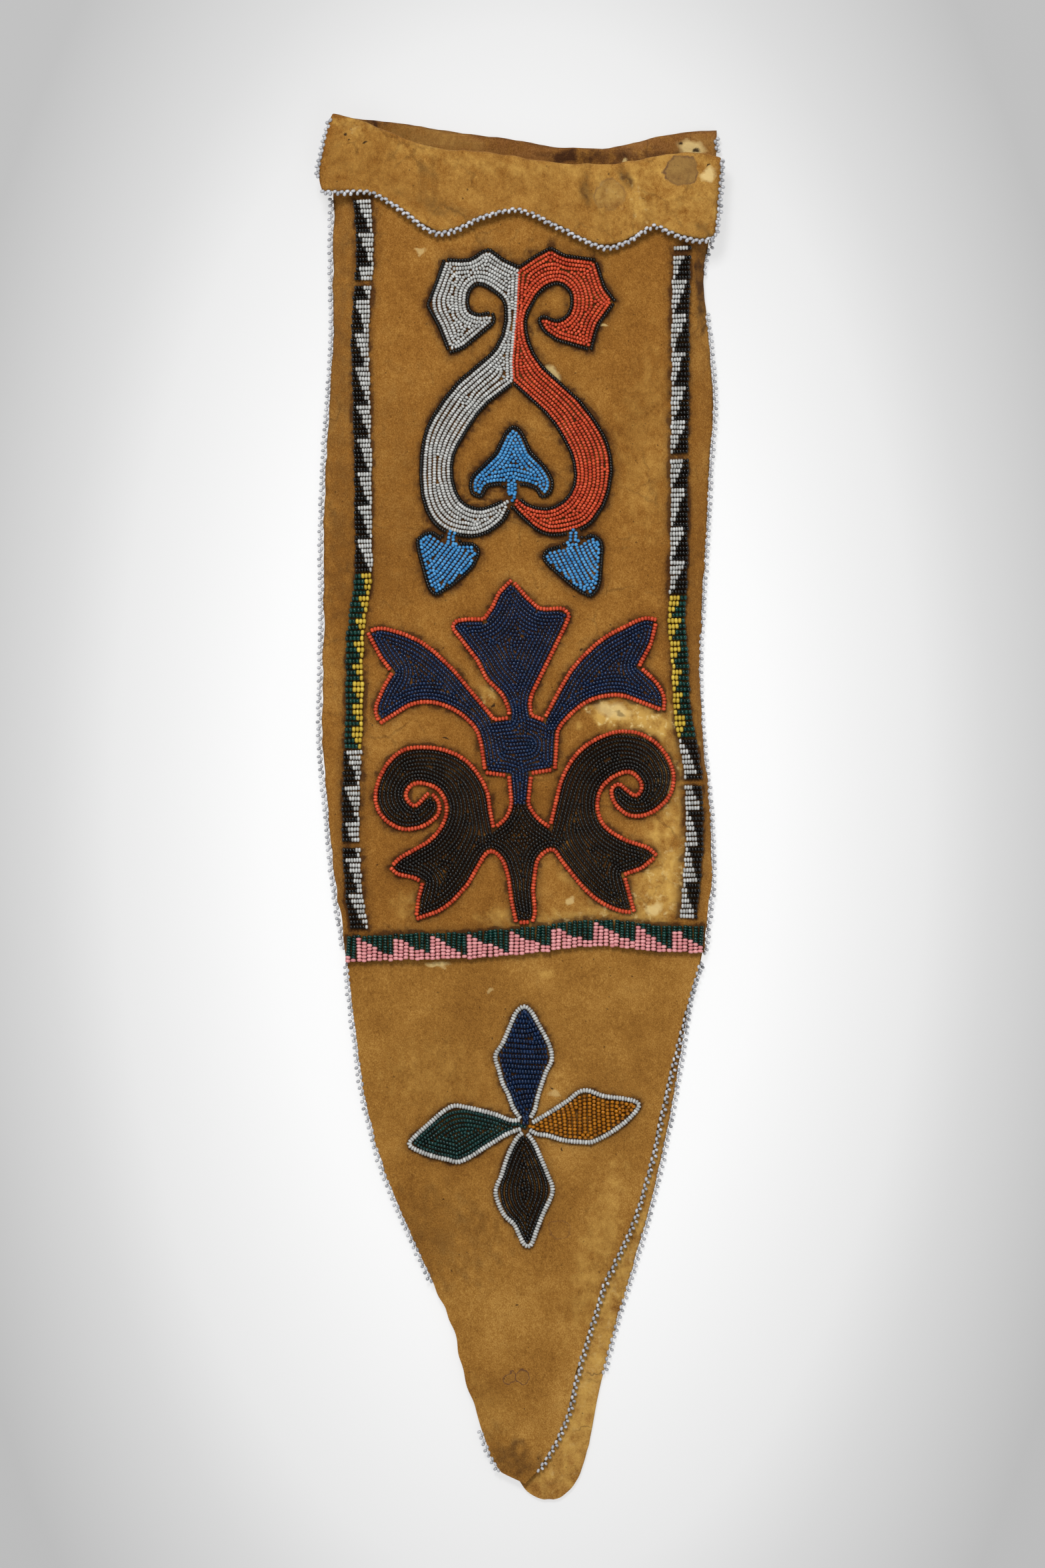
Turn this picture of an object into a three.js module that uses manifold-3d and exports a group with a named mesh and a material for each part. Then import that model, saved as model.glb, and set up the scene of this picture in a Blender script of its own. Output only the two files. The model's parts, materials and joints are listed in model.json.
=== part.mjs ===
// Beaded hide pipe bag, lying on its back.
// Two hide panels are sewn together along the sides. At the mouth each panel folds outwards into a
// cuff, and below the beaded band both run out into a free tail. The front carries flat beadwork.
// Millimetres, +Z up, +Y towards the mouth. The origin is on the floor under the middle of the bag.
import * as THREE from 'three';
import { mergeVertices } from 'three/addons/utils/BufferGeometryUtils.js';
import Module from 'manifold-3d';

// Size that the hand-drawn outlines are graded to, measured over the hides
const BAG_LENGTH = 570.6;
const BAG_WIDTH = 165.2;

// Hide, beadwork and the clearance between pieces that touch
const HIDE = 1.6;
const BEADWORK = 1.5;
const EDGE_BEAD = 1.8;
const GAP = 0.3;

// How the bag lies: the pouch stands open at the mouth, and the cuffs fold over on themselves
const MOUTH_SPACE = 6.6;
const CUFF_FOLD = 2.8;
const CUFF_LIFT = 1.2;
const CUFF_DROOP = 0.4;
const BACK_CUFF_DEPTH = 41;
const BACK_RAMP = 12;
const TAIL_OVERLAP = 16;

// Bead rows: the width of one outlining row of each colour
const BLACK_ROW = 1.9;
const RED_ROW = 1.7;
const WHITE_ROW = 2.0;

// How far the scroll's two colours stay from its foot, where the black rows meet
const FOOT_CLEARANCE = 1.6;

// Lanes beside the panel: short rows of beads in saw teeth
const LANE_WIDTH = 7.6;
const LANE_ROW = 2.35;
const LANE_BEADS = 7;
const LONG_TOOTH = 6 * LANE_ROW;
const SHORT_TOOTH = 4 * LANE_ROW;
const LANE_MARGIN = 0.6;

// Band across the foot of the panel: upright columns of beads in saw teeth
const BAND_HEIGHT = 11.3;
const BAND_BEADS = 9;
const BAND_TOOTH = 15.2;
const BAND_FIRST_TOOTH = 5.6;
const BAND_FALL = [8, 1.2];
const BAND_FIRST_FALL = [3, 1.5];

// How finely curves are followed
const SAMPLE_STEP = 1;
const CURVE_TOLERANCE = 0.25;
const CORNER_LIMIT = 0.25;
const LOOP_REACH = 12;
const CORD_SIDES = 6;

// Hide outlines as drawn, from the foot up
const BODY_LEFT = [
  [-70.5, -64], [-72.6, -47], [-75.3, -30], [-78.4, 1.6], [-80.6, 24], [-80.9, 41], [-79.9, 75],
  [-80.3, 97], [-79.9, 128], [-77.4, 169], [-75.7, 197], [-76.1, 223], [-75.3, 242], [-75, 262],
  [-75.8, 290],
];
const BODY_RIGHT = [
  [75.8, -64], [77.8, -40], [79.2, -26], [77.9, 5], [75.8, 23], [73.9, 40], [73.8, 61], [75.2, 89],
  [77.2, 120], [78.1, 140], [80, 163], [78.3, 190], [75.2, 212], [75.6, 224], [79, 236], [81, 255],
  [81.6, 290],
];
const FRONT_TAIL_LEFT = [
  [-70.3, -40], [-70.6, -62], [-68, -86.5], [-64.9, -109], [-60, -135], [-50.5, -161], [-37.6, -190],
  [-32.5, -201], [-28.6, -208.6], [-25.5, -220], [-22.5, -233.6], [-18.8, -244], [-15.2, -256],
  [-11.3, -266.5], [-7.2, -273], [-1.2, -277], [2.6, -277.6],
];
const FRONT_TAIL_RIGHT = [
  [75, -40], [74.6, -62], [71.5, -73], [67.9, -87], [63.3, -102], [59.7, -119], [56.9, -137],
  [50.9, -155], [46, -171.5], [40.5, -184], [35, -195], [31.9, -205], [26.2, -223], [22.5, -237],
  [19.5, -250], [15.7, -259], [9.5, -269.5], [6, -274], [2.6, -277.6],
];
const BACK_TAIL_RIGHT = [
  [77.8, -40], [75.6, -62], [71.5, -73], [67.9, -94], [65.1, -109.5], [62.4, -128], [57.8, -149],
  [52.3, -171], [46.8, -190], [41.5, -206], [36.8, -224], [33.2, -239], [30, -256], [27.3, -268],
  [22.8, -279], [17.7, -283.4], [12.3, -285],
];
const BACK_TAIL_AXIS = [[1.5, -40], [6, -150], [12.3, -285]];

// Mouth: the front and back rims sag between their corners
const FRONT_RIM = [
  [-75.8, 285.6], [-67.5, 283.2], [-57.3, 279.6], [-45.4, 274.3], [-31.1, 270.7], [-16.8, 270.1],
  [0, 267.7], [11.9, 265.3], [26.2, 264.4], [38.1, 264.7], [49.9, 266.3], [60.7, 268.9], [73.8, 269.3],
  [82.7, 267.7],
];
const BACK_RIM = [
  [-75.8, 284.8], [-54.9, 283.2], [-21.6, 277.9], [4.7, 274.9], [23.8, 270.9], [44.1, 273],
  [65.5, 278.7], [73.8, 279.6], [80.4, 279],
];

// Front cuff: its waved lower edge, and its sides from the fold down
const CUFF_WAVE = [
  [-80.6, 254.2], [-69.2, 253.9], [-60.9, 253.9], [-52.6, 249.7], [-44.2, 243.7], [-35.9, 237.9],
  [-31.8, 237.1], [-25.2, 238.9], [-16.8, 243.1], [-7.3, 246], [0, 246.7], [8.3, 243.7], [17.7, 238.9],
  [26.2, 234.7], [33.3, 231.7], [38.1, 231.5], [46.4, 234.7], [52.4, 238.9], [57.2, 239.8], [65.5, 236],
  [73.8, 234.1], [80.4, 236],
];
const CUFF_LEFT = [[-80.6, 254.2], [-82.5, 257], [-81.8, 264], [-79.6, 274], [-77, 283],
  [-75.8, 285.6]];
const CUFF_RIGHT = [[80.4, 236], [81.6, 246], [82.5, 257], [82.7, 267.7]];
const BACK_CUFF_SIDES = [-79.5, 80.4];

// Lane middles from the cuff down, and the heights where the colours change
const LEFT_LANE = [
  [-64.6, 251], [-63.2, 232], [-63.6, 220], [-65.3, 200], [-65, 179], [-64.1, 136], [-63.9, 97],
  [-65.3, 86], [-67.4, 72], [-67.6, 52], [-68.2, 25], [-69.2, 4], [-68.8, -21], [-67.5, -38],
  [-65.6, -50],
];
const RIGHT_LANE = [
  [67.2, 233], [66.6, 218], [66.3, 169], [66, 141], [65.9, 99], [64.9, 78], [66.5, 57], [67.3, 38],
  [70.7, 23], [72.3, 5], [72.4, -8], [71.4, -26], [69.6, -46],
];
const LEFT_LANE_BREAKS = [251, 97.5, 24.8, -49.4];
const RIGHT_LANE_BREAKS = [232, 88.5, 29.5, -45];

// Band middle line, left to right
const BAND_LINE = [
  [-71.4, -57.6], [-55.5, -56.7], [-34.5, -56], [-18.7, -55.8], [-5.1, -54.5], [7.6, -53.5],
  [18.1, -51.7], [35, -50.5], [47.6, -51.9], [60.2, -53.1], [76.2, -53.3],
];

// Beadwork outlines: each inner list is a smooth stretch, and stretches meet at the corners
const SCROLL = [
  [[0, 223.9], [-6, 226.7], [-12, 231.2]],
  [[-16, 229.8], [-21, 226.7], [-31.2, 227]],
  [[-34.4, 217.6], [-38.5, 207.4]],
  [[-33.5, 198.3], [-29.1, 187]],
  [[-22.6, 188.9], [-14.8, 195.4], [-9.4, 200.1], [-10.4, 205.3]],
  [[-16, 204.2], [-19.9, 206.1], [-19.9, 212], [-16.6, 215.2], [-11, 212.6], [-6.6, 207.9],
    [-6.5, 198.9], [-10.1, 190.1], [-17.3, 183.3], [-25.4, 176.4], [-32.9, 167], [-38.5, 157],
    [-40.7, 146.9], [-41, 133], [-38.5, 122.5], [-32.3, 114.7], [-21.6, 111.6], [-13.5, 112.8],
    [-6, 118.1], [-2.9, 123.8]],
  [[-1, 121.6], [5.3, 115.6], [12.1, 112.3], [19.6, 112.8], [27.8, 115.6], [33.4, 121.3], [37.1, 128.8],
    [38.9, 140], [37.1, 150.6], [32.8, 158.9], [25.9, 168.3], [17.1, 176.4], [10.3, 182.6],
    [5.9, 189.5], [3.7, 197], [4.3, 203.9], [9.6, 212.6], [15.9, 215.6], [20.6, 212], [20.3, 205.1],
    [15.9, 201.7], [10.3, 203.9]],
  [[7.4, 202], [9.6, 196.4], [15.9, 192], [23.4, 190.1], [30.3, 187.9]],
  [[33.1, 198.3], [37.1, 204.5], [40.6, 208.9]],
  [[35.9, 215.1], [33.7, 222.6], [32.1, 226.7]],
  [[25.9, 227.8], [19, 228.6], [13.1, 231.9]],
  [[6.5, 228.3], [0, 223.9]],
];
const SCROLL_HOLE = [
  [[-2.3, 174], [-8.5, 169.5], [-14.8, 163.8], [-21.6, 153.8], [-26, 145], [-26.3, 135.6],
    [-22.9, 127.5], [-16, 124.7], [-8.5, 127.2], [-5.4, 129.4]],
  [[-0.2, 129.7]],
  [[4, 126.3], [11.5, 124.7], [18.4, 128.1], [22.1, 135], [21.2, 144.4], [17.1, 153.1], [12.1, 160.6],
    [5.9, 166.6], [-2.3, 174]],
];
const SCROLL_DIVIDE = [[0, 236], [0, 223.9], [-0.5, 215.8], [-1, 204.5], [-1.9, 194.5], [-2.8, 184.5],
  [-2.3, 174]];
const SCROLL_FOOT = [[-2.9, 123.8], [-2.9, 105]];
const TREFOIL = [
  [[-1.9, 159.1], [2.1, 155], [5.3, 147.5], [10.9, 141.9], [14.6, 135], [13.1, 129.4], [8.4, 127.2]],
  [[6.8, 131.3], [2.1, 133]],
  [[-8.5, 133]],
  [[-12.6, 132.2], [-14.8, 127.5]],
  [[-19.8, 129.4], [-20.4, 136.3], [-15.4, 141.9], [-9.8, 147.5], [-6, 155.6], [-1.9, 159.1]],
];
const TREFOIL_STEM = { left: -4.6, right: -1.1, foot: 127, head: 137 };
const LEFT_HEART = [
  [[-27.8, 109.6], [-24.1, 110.3], [-18.5, 110], [-15.7, 106.3], [-18.5, 99.4], [-26, 92.5],
    [-34.1, 87.2]],
  [[-37.4, 90.5], [-39.4, 96.9], [-42.6, 109.4], [-40.5, 113.3], [-35.7, 114.9], [-31, 111.9],
    [-27.8, 109.6]],
];
const LEFT_HEART_STEM = { left: -30, right: -25.8, foot: 105, head: 116 };
const RIGHT_HEART = [
  [[22.3, 109.2], [25.9, 111.6], [29.9, 113.8], [34.6, 110.6], [34.9, 104], [33.7, 91.9], [29.6, 86.6]],
  [[23.4, 90], [15.9, 96.3], [9.6, 102.5], [10.6, 106.9], [16.5, 109.1], [22.3, 109.2]],
];
const RIGHT_HEART_STEM = { left: 20, right: 24.5, foot: 104.5, head: 116 };
const PLANT = [
  [[-2.9, 95], [-8.5, 89.4], [-11, 83.7], [-14.6, 78.7]],
  [[-21.6, 78.7], [-26.5, 77.6], [-27.7, 74.8]],
  [[-22.1, 67.6], [-16.6, 60.3], [-13.6, 53.7], [-7.1, 47.3], [-4.3, 40.9], [-4.4, 38.1]],
  [[-9.9, 37.4]],
  [[-19.3, 48.7], [-27.1, 58.1], [-38.2, 68.1], [-47.7, 72.8], [-57.1, 75.1], [-62.6, 73.1]],
  [[-57.1, 62.6], [-52.4, 56.4]],
  [[-56, 50.3], [-59.4, 41.5], [-57.4, 35.1]],
  [[-51.6, 38.7], [-44.3, 43.1], [-36.6, 44.1], [-28.8, 42], [-21.6, 37.3], [-16.6, 30.3],
    [-14.1, 15.1]],
  [[-4.3, 13.7]],
  [[-3.5, 6.4], [-3.6, 1.5], [-5.7, -3.4], [-10.2, -7.1]],
  [[-11.6, 0], [-12.4, 6.6], [-16, 14.1], [-22.1, 21], [-30.4, 24.9], [-39.3, 26.1], [-47.7, 24.9],
    [-54.3, 19.3], [-58.5, 11], [-59.3, 2.7], [-55.7, -4], [-48.2, -8.2], [-39.9, -7.3], [-33.2, -2.6],
    [-32.7, 3.2], [-36.6, 7.4], [-39.3, 4.9], [-42.9, 1.8], [-46.3, 5.4], [-44.9, 9.3], [-41, 10.9],
    [-33.8, 8.5], [-30.2, 2.7], [-30.7, -4], [-35.4, -11.2], [-42.1, -15.7], [-49.3, -19.6],
    [-53.3, -23.7]],
  [[-49.9, -26.8], [-43.2, -28.2], [-39.9, -30.1]],
  [[-41.6, -36.2], [-42.7, -45.4]],
  [[-33.2, -42.1], [-26, -36.8], [-19.9, -29.6], [-15.2, -20.9], [-11.6, -17.1], [-7.1, -20.7],
    [-4.6, -27.9], [-3.2, -38.4], [-1.3, -46.8]],
  [[5.7, -46.5]],
  [[7, -42], [6.1, -35.1], [6.5, -29], [8.2, -20.4], [13.7, -16.5], [17.9, -21.8], [26.2, -32.1],
    [33.4, -38.2], [41.2, -41.8], [47.9, -42.6]],
  [[45.4, -33.4], [43.6, -26.8]],
  [[50.7, -24.3], [57.3, -19]],
  [[52.9, -15.1], [44, -12.2], [35.7, -6.8], [32.6, 0.4], [34, 8.5], [39.6, 13.8], [46.2, 15.2],
    [50.4, 10.2], [48.2, 6], [44, 8.8], [41.5, 11], [37.9, 8.8], [39, 2.7], [45.1, -2.6], [53.4, -2.1],
    [60.7, 3.2], [64.1, 11], [62.9, 18.8], [57.9, 26.6], [50.1, 31.6], [41.2, 32.6], [32.9, 30],
    [25.7, 25.4], [20.7, 19.3], [17.1, 12], [15.1, 3.8], [12.6, -6.8]],
  [[7.9, -3.2], [4.4, 2], [4.6, 7], [5.4, 14.8]],
  [[15.1, 16.4]],
  [[15.8, 25.3], [16.5, 33.1], [23.4, 40.9], [31.2, 45.6], [41.2, 47], [49, 44.5], [59.8, 40.3]],
  [[60.1, 46.4], [56.8, 52.6], [49.8, 59.2]],
  [[54.6, 68.1], [57.1, 78.5]],
  [[51.8, 79.2], [45.1, 76.4], [34, 70.3], [23.4, 60.3], [17.3, 50.9], [10.1, 37.3]],
  [[5.4, 39.2]],
  [[5.1, 45.9], [11.2, 59.2], [19, 74.8], [21.2, 80.1]],
  [[17.9, 83.2], [11.2, 82.8], [8.2, 83.2]],
  [[2.9, 88.1], [-2.9, 95]],
];
const PLANT_DIVIDE = [[-75, 31], [-24, 31], [-19.4, 24], [-15.1, 14.6], [-8.5, 10], [-7.5, 2.5],
  [8.5, 2.5], [9.5, 10], [16.8, 15.6], [19.6, 24], [25, 34], [41, 39.5], [75, 37]];
const TOP_PETAL = [
  [[2.3, -80.3], [-3.3, -87.3], [-10.3, -101.3]],
  [[-8.7, -108.7], [-4.7, -118.7], [0.7, -127.3]],
  [[5.3, -128]],
  [[8, -120], [11, -110.7], [14.3, -102.7]],
  [[9.3, -90.7], [2.3, -80.3]],
];
const RIGHT_PETAL = [
  [[4.4, -130.4], [9.3, -134], [18.7, -136.3], [28.1, -137.7]],
  [[36.7, -134], [45.7, -128], [50.5, -121.4]],
  [[45.3, -119.3], [36, -118], [27.7, -115.2]],
  [[20.7, -119.3], [11.3, -124.7], [4.4, -130.4]],
];
const BOTTOM_PETAL = [
  [[3, -132.6], [-1.7, -136.7], [-5.7, -144.7], [-10, -157.7]],
  [[-5.3, -168], [-0.7, -174.7], [3.7, -180]],
  [[7, -174.7], [10, -167.3], [14.3, -157]],
  [[12, -148], [7.7, -138.7], [3, -132.6]],
];
const LEFT_PETAL = [
  [[1.1, -130.6], [-3.3, -128.5], [-12, -125], [-20.7, -122.5], [-28.3, -121.7]],
  [[-35.3, -127.3], [-46.5, -137.5]],
  [[-36.7, -142.7], [-25, -145.3]],
  [[-16.7, -141.3], [-8.7, -135.7], [1.1, -130.6]],
];

// Where the sheets are divided into rows and columns, as drawn
const TAIL_ROWS = [-284.6, -283, -279, -272, -262, -248, -232, -214, -194, -172, -148, -120, -92, -74, -62];
const BODY_ROWS = [-48, -28, 0, 28, 56, 84, 112, 140, 168, 196, 220];
const BACK_COLUMNS = [0, 0.04, 0.16, 0.3, 0.44, 0.58, 0.72, 0.86, 0.96, 1];
const FOLD_TURNS = [-90, -45, 0, 45, 90];
const CUFF_ROWS = [0.2, 0.5, 0.8, 1];

// Stretches of the tails that still carry edge beads
const FRONT_LEFT_EDGING = [-205, -60];
const FRONT_TIP_EDGING = [-275, -240];
const FRONT_RIGHT_EDGING = [-275, -60];
const BACK_EDGING = [-235, -60];

// Heads of the beaded side seams, left and right, at the cuff
const SEAM_HEADS = [249, 236];

// Colours of the hides and the beads
const COLOURS = {
  panel: 0x8f642a, tail: 0x8d6a31, back: 0x86602f, white: 0xc4c6c8, black: 0x16130f, red: 0xc4432a,
  blue: 0x4a93cf, navy: 0x14264a, yellow: 0xc2a23a, green: 0x123a36, pink: 0xc97c7e, ochre: 0xa86a18,
  teal: 0x124b4a,
};
const MATTE_HIDE = 0.9;
const GLOSSY_BEAD = 0.3;

const wasm = await Module();
wasm.setup();
const lerp = THREE.MathUtils.lerp;

// Grading: the drawing is centred and stretched to the bag's length and width
const drawn = new THREE.Box2().setFromPoints(
  [...CUFF_LEFT, ...CUFF_RIGHT, ...BACK_TAIL_RIGHT, ...FRONT_RIM].map(([x, y]) => new THREE.Vector2(x, y)),
);
const drawnMiddle = drawn.getCenter(new THREE.Vector2());
const drawnSize = drawn.getSize(new THREE.Vector2());

function gradeX(x) {
  return (x - drawnMiddle.x) * BAG_WIDTH / drawnSize.x;
}

function gradeY(y) {
  return (y - drawnMiddle.y) * BAG_LENGTH / drawnSize.y;
}

function grade([x, y]) {
  return new THREE.Vector2(gradeX(x), gradeY(y));
}

// Function that reads one coordinate of a drawn line from the other
function follow(points, from, to) {
  const line = new THREE.SplineCurve(points.map(grade));
  const spots = line.getPoints(Math.ceil(line.getLength() / SAMPLE_STEP));
  spots.sort((a, b) => a[from] - b[from]);
  return (value) => {
    const next = spots.findIndex((spot) => spot[from] >= value);
    if (next === -1) return spots.at(-1)[to];
    if (next === 0) return spots[0][to];
    const [a, b] = [spots[next - 1], spots[next]];
    return lerp(a[to], b[to], (value - a[from]) / (b[from] - a[from]));
  };
}

const bodyLeft = follow(BODY_LEFT, 'y', 'x');
const bodyRight = follow(BODY_RIGHT, 'y', 'x');
const frontTailLeft = follow(FRONT_TAIL_LEFT, 'y', 'x');
const frontTailRight = follow(FRONT_TAIL_RIGHT, 'y', 'x');
const backTailRight = follow(BACK_TAIL_RIGHT, 'y', 'x');
const backTailAxis = follow(BACK_TAIL_AXIS, 'y', 'x');
const frontRim = follow(FRONT_RIM, 'x', 'y');
const backRim = follow(BACK_RIM, 'x', 'y');
const cuffWave = follow(CUFF_WAVE, 'x', 'y');
const cuffLeft = follow(CUFF_LEFT, 'y', 'x');
const cuffRight = follow(CUFF_RIGHT, 'y', 'x');
const bandLine = follow(BAND_LINE, 'x', 'y');
const leftLane = follow(LEFT_LANE, 'y', 'x');
const rightLane = follow(RIGHT_LANE, 'y', 'x');

// Levels: the back hide lies on the floor, then the front tail, then the front panel above both
const hideStep = HIDE + GAP;
const tailMid = hideStep + HIDE / 2;
const panelLowMid = tailMid + hideStep;
const bandY = gradeY(BAND_LINE[0][1]);
const mouthY = gradeY(FRONT_RIM[0][1]);
const backCuffY = mouthY - BACK_CUFF_DEPTH;
const panelHighMid = HIDE + hideStep + MOUTH_SPACE + HIDE / 2;
const panelSlope = (panelHighMid - panelLowMid) / (mouthY - bandY);
const panelTilt = Math.atan(panelSlope);
const tailTopY = bandY + TAIL_OVERLAP;

function backMid(y) {
  const rise = THREE.MathUtils.smoothstep(y, backCuffY - BACK_RAMP, backCuffY);
  return HIDE / 2 + rise * hideStep;
}

function panelMid(y) {
  return panelLowMid + Math.max(0, y - bandY) * panelSlope;
}

// Height of the front panel's sewn edge: over the tail at the band, then down on the back hide
function seamMid(y) {
  const overTail = 1 - THREE.MathUtils.smoothstep(y, tailTopY, tailTopY + TAIL_OVERLAP);
  return Math.min(panelMid(y), backMid(y) + hideStep * (1 + overTail));
}

// Closed sheet of hide round rows of points on its middle surface
function sheet(rows) {
  const high = rows.length;
  const wide = rows[0].length;
  const clamp = THREE.MathUtils.clamp;
  const point = (r, c) => rows[clamp(r, 0, high - 1)][clamp(c, 0, wide - 1)];
  const positions = [];
  const indices = [];
  for (const side of [1, -1]) {
    for (let r = 0; r < high; r += 1) {
      for (let c = 0; c < wide; c += 1) {
        const across = point(r, c + 1).clone().sub(point(r, c - 1));
        const along = point(r + 1, c).clone().sub(point(r - 1, c));
        const normal = across.cross(along).normalize();
        positions.push(...point(r, c).clone().addScaledVector(normal, side * HIDE / 2));
      }
    }
  }
  const top = (r, c) => r * wide + c;
  const under = (r, c) => high * wide + top(r, c);
  for (let r = 0; r < high - 1; r += 1) {
    for (let c = 0; c < wide - 1; c += 1) {
      indices.push(top(r, c), top(r, c + 1), top(r + 1, c + 1));
      indices.push(top(r, c), top(r + 1, c + 1), top(r + 1, c));
      indices.push(under(r, c), under(r + 1, c + 1), under(r, c + 1));
      indices.push(under(r, c), under(r + 1, c), under(r + 1, c + 1));
    }
  }
  const rim = [];
  for (let c = 0; c < wide - 1; c += 1) rim.push([0, c]);
  for (let r = 0; r < high - 1; r += 1) rim.push([r, wide - 1]);
  for (let c = wide - 1; c > 0; c -= 1) rim.push([high - 1, c]);
  for (let r = high - 1; r > 0; r -= 1) rim.push([r, 0]);
  rim.forEach(([r, c], i) => {
    const [nextR, nextC] = rim[(i + 1) % rim.length];
    indices.push(under(r, c), under(nextR, nextC), top(nextR, nextC));
    indices.push(under(r, c), top(nextR, nextC), top(r, c));
  });
  const geometry = new THREE.BufferGeometry();
  geometry.setAttribute('position', new THREE.Float32BufferAttribute(positions, 3));
  geometry.setIndex(indices);
  return geometry;
}

// Rows that carry a sheet round a fold, from the last point of the panel to the first of the cuff
function foldRows(panelEdge, cuffEdge, reach) {
  return FOLD_TURNS.map((turn) => {
    const angle = THREE.MathUtils.degToRad(turn);
    const share = (1 + Math.sin(angle)) / 2;
    return panelEdge.map((start, c) => {
      const spot = start.clone().lerp(cuffEdge[c], share);
      spot.y += reach * Math.cos(angle);
      return spot;
    });
  });
}

// Columns of the front panel: sewn edge, slope, crease, the stations of the cuff's wave, and back
const waveX = CUFF_WAVE.slice(1, -1).map(([x]) => gradeX(x));

function frontRow(y, edgeY = () => y) {
  const edges = [bodyLeft(y), bodyRight(y)];
  const creases = [
    leftLane(y) - LANE_WIDTH / 2 - LANE_MARGIN,
    rightLane(y) + LANE_WIDTH / 2 + LANE_MARGIN,
  ];
  const inner = waveX.map((x) => lerp(creases[0], creases[1], (x - waveX[0]) / (waveX.at(-1) - waveX[0])));
  const spot = (x, fall) => {
    const here = edgeY(x);
    return new THREE.Vector3(x, here, lerp(panelMid(here), seamMid(here), fall));
  };
  return [
    spot(edges[0], 1),
    spot((edges[0] + creases[0]) / 2, 0.5),
    ...inner.map((x) => spot(x, 0)),
    spot((edges[1] + creases[1]) / 2, 0.5),
    spot(edges[1], 1),
  ];
}

// Row of the front cuff: share 0 at the fold, 1 at the waved edge
function cuffRow(share) {
  const [left, right] = [cuffLeft(mouthY), cuffRight(mouthY)];
  const stations = [left, (left + waveX[0]) / 2, ...waveX, (waveX.at(-1) + right) / 2, right];
  return stations.map((x, c) => {
    const fromEdge = Math.min(c, stations.length - 1 - c) / 2;
    const y = lerp(frontRim(x) - CUFF_FOLD / 2, cuffWave(x), share);
    const edgeX = x < 0 ? cuffLeft(y) : cuffRight(y);
    const spread = lerp(edgeX, x, Math.min(1, fromEdge));
    const droop = CUFF_DROOP * Math.max(0, 1 - fromEdge) * (panelMid(y) - seamMid(y));
    return new THREE.Vector3(spread, y, panelMid(y) + CUFF_FOLD + CUFF_LIFT * share - droop);
  });
}

function makeFrontHide() {
  const foot = frontRow(bandY, (x) => bandLine(x) - BAND_HEIGHT / 2 + GAP);
  const panel = [foot, ...BODY_ROWS.map((y) => frontRow(gradeY(y)))];
  const last = panel.at(-1);
  const cuff = [0, ...CUFF_ROWS].map(cuffRow);
  const rimRow = frontRow(mouthY, (x) => frontRim(x) - CUFF_FOLD / 2);
  const halfway = last.map((spot, c) => {
    const middle = spot.clone().lerp(rimRow[c], 0.5);
    const fall = Math.max(0, 1 - Math.min(c, last.length - 1 - c) / 2);
    middle.z = lerp(panelMid(middle.y), seamMid(middle.y), fall);
    return middle;
  });
  const fold = foldRows(rimRow, cuff[0], CUFF_FOLD / 2);
  return { geometry: sheet([...panel, halfway, ...fold, ...cuff.slice(1)]), panel, halfway, cuff };
}

// Back hide: tail, panel, fold at the rim, and a plain cuff turned under
function backEdges(y) {
  if (y > bandY) return [bodyLeft(y), bodyRight(y)];
  const right = backTailRight(y);
  return [2 * backTailAxis(y) - right, right];
}

function backRow(y, edgeY = () => y) {
  const [left, right] = backEdges(y);
  return BACK_COLUMNS.map((share) => {
    const x = lerp(left, right, share);
    return new THREE.Vector3(x, edgeY(x), backMid(edgeY(x)));
  });
}

function makeBackHide() {
  const rows = [...TAIL_ROWS, ...BODY_ROWS].map((y) => backRow(gradeY(y)));
  rows.push(backRow(backCuffY - BACK_RAMP), backRow(backCuffY - BACK_RAMP / 2), backRow(backCuffY));
  const rimRow = backRow(mouthY, (x) => backRim(x) - hideStep / 2);
  const [cuffFrom, cuffTo] = BACK_CUFF_SIDES.map(gradeX);
  const cuffEdge = rimRow.map((spot) => new THREE.Vector3(spot.x, spot.y, HIDE / 2));
  const hem = BACK_COLUMNS.map((share) => {
    const x = lerp(cuffFrom, cuffTo, share);
    return new THREE.Vector3(x, backCuffY + GAP, HIDE / 2);
  });
  rows.push(...foldRows(rimRow, cuffEdge, hideStep / 2), hem);
  return sheet(rows);
}

// Direction of travel at one point of a line
function wayAt(points, i) {
  const after = points[Math.min(i + 1, points.length - 1)];
  return after.clone().sub(points[Math.max(i - 1, 0)]).normalize();
}

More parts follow.
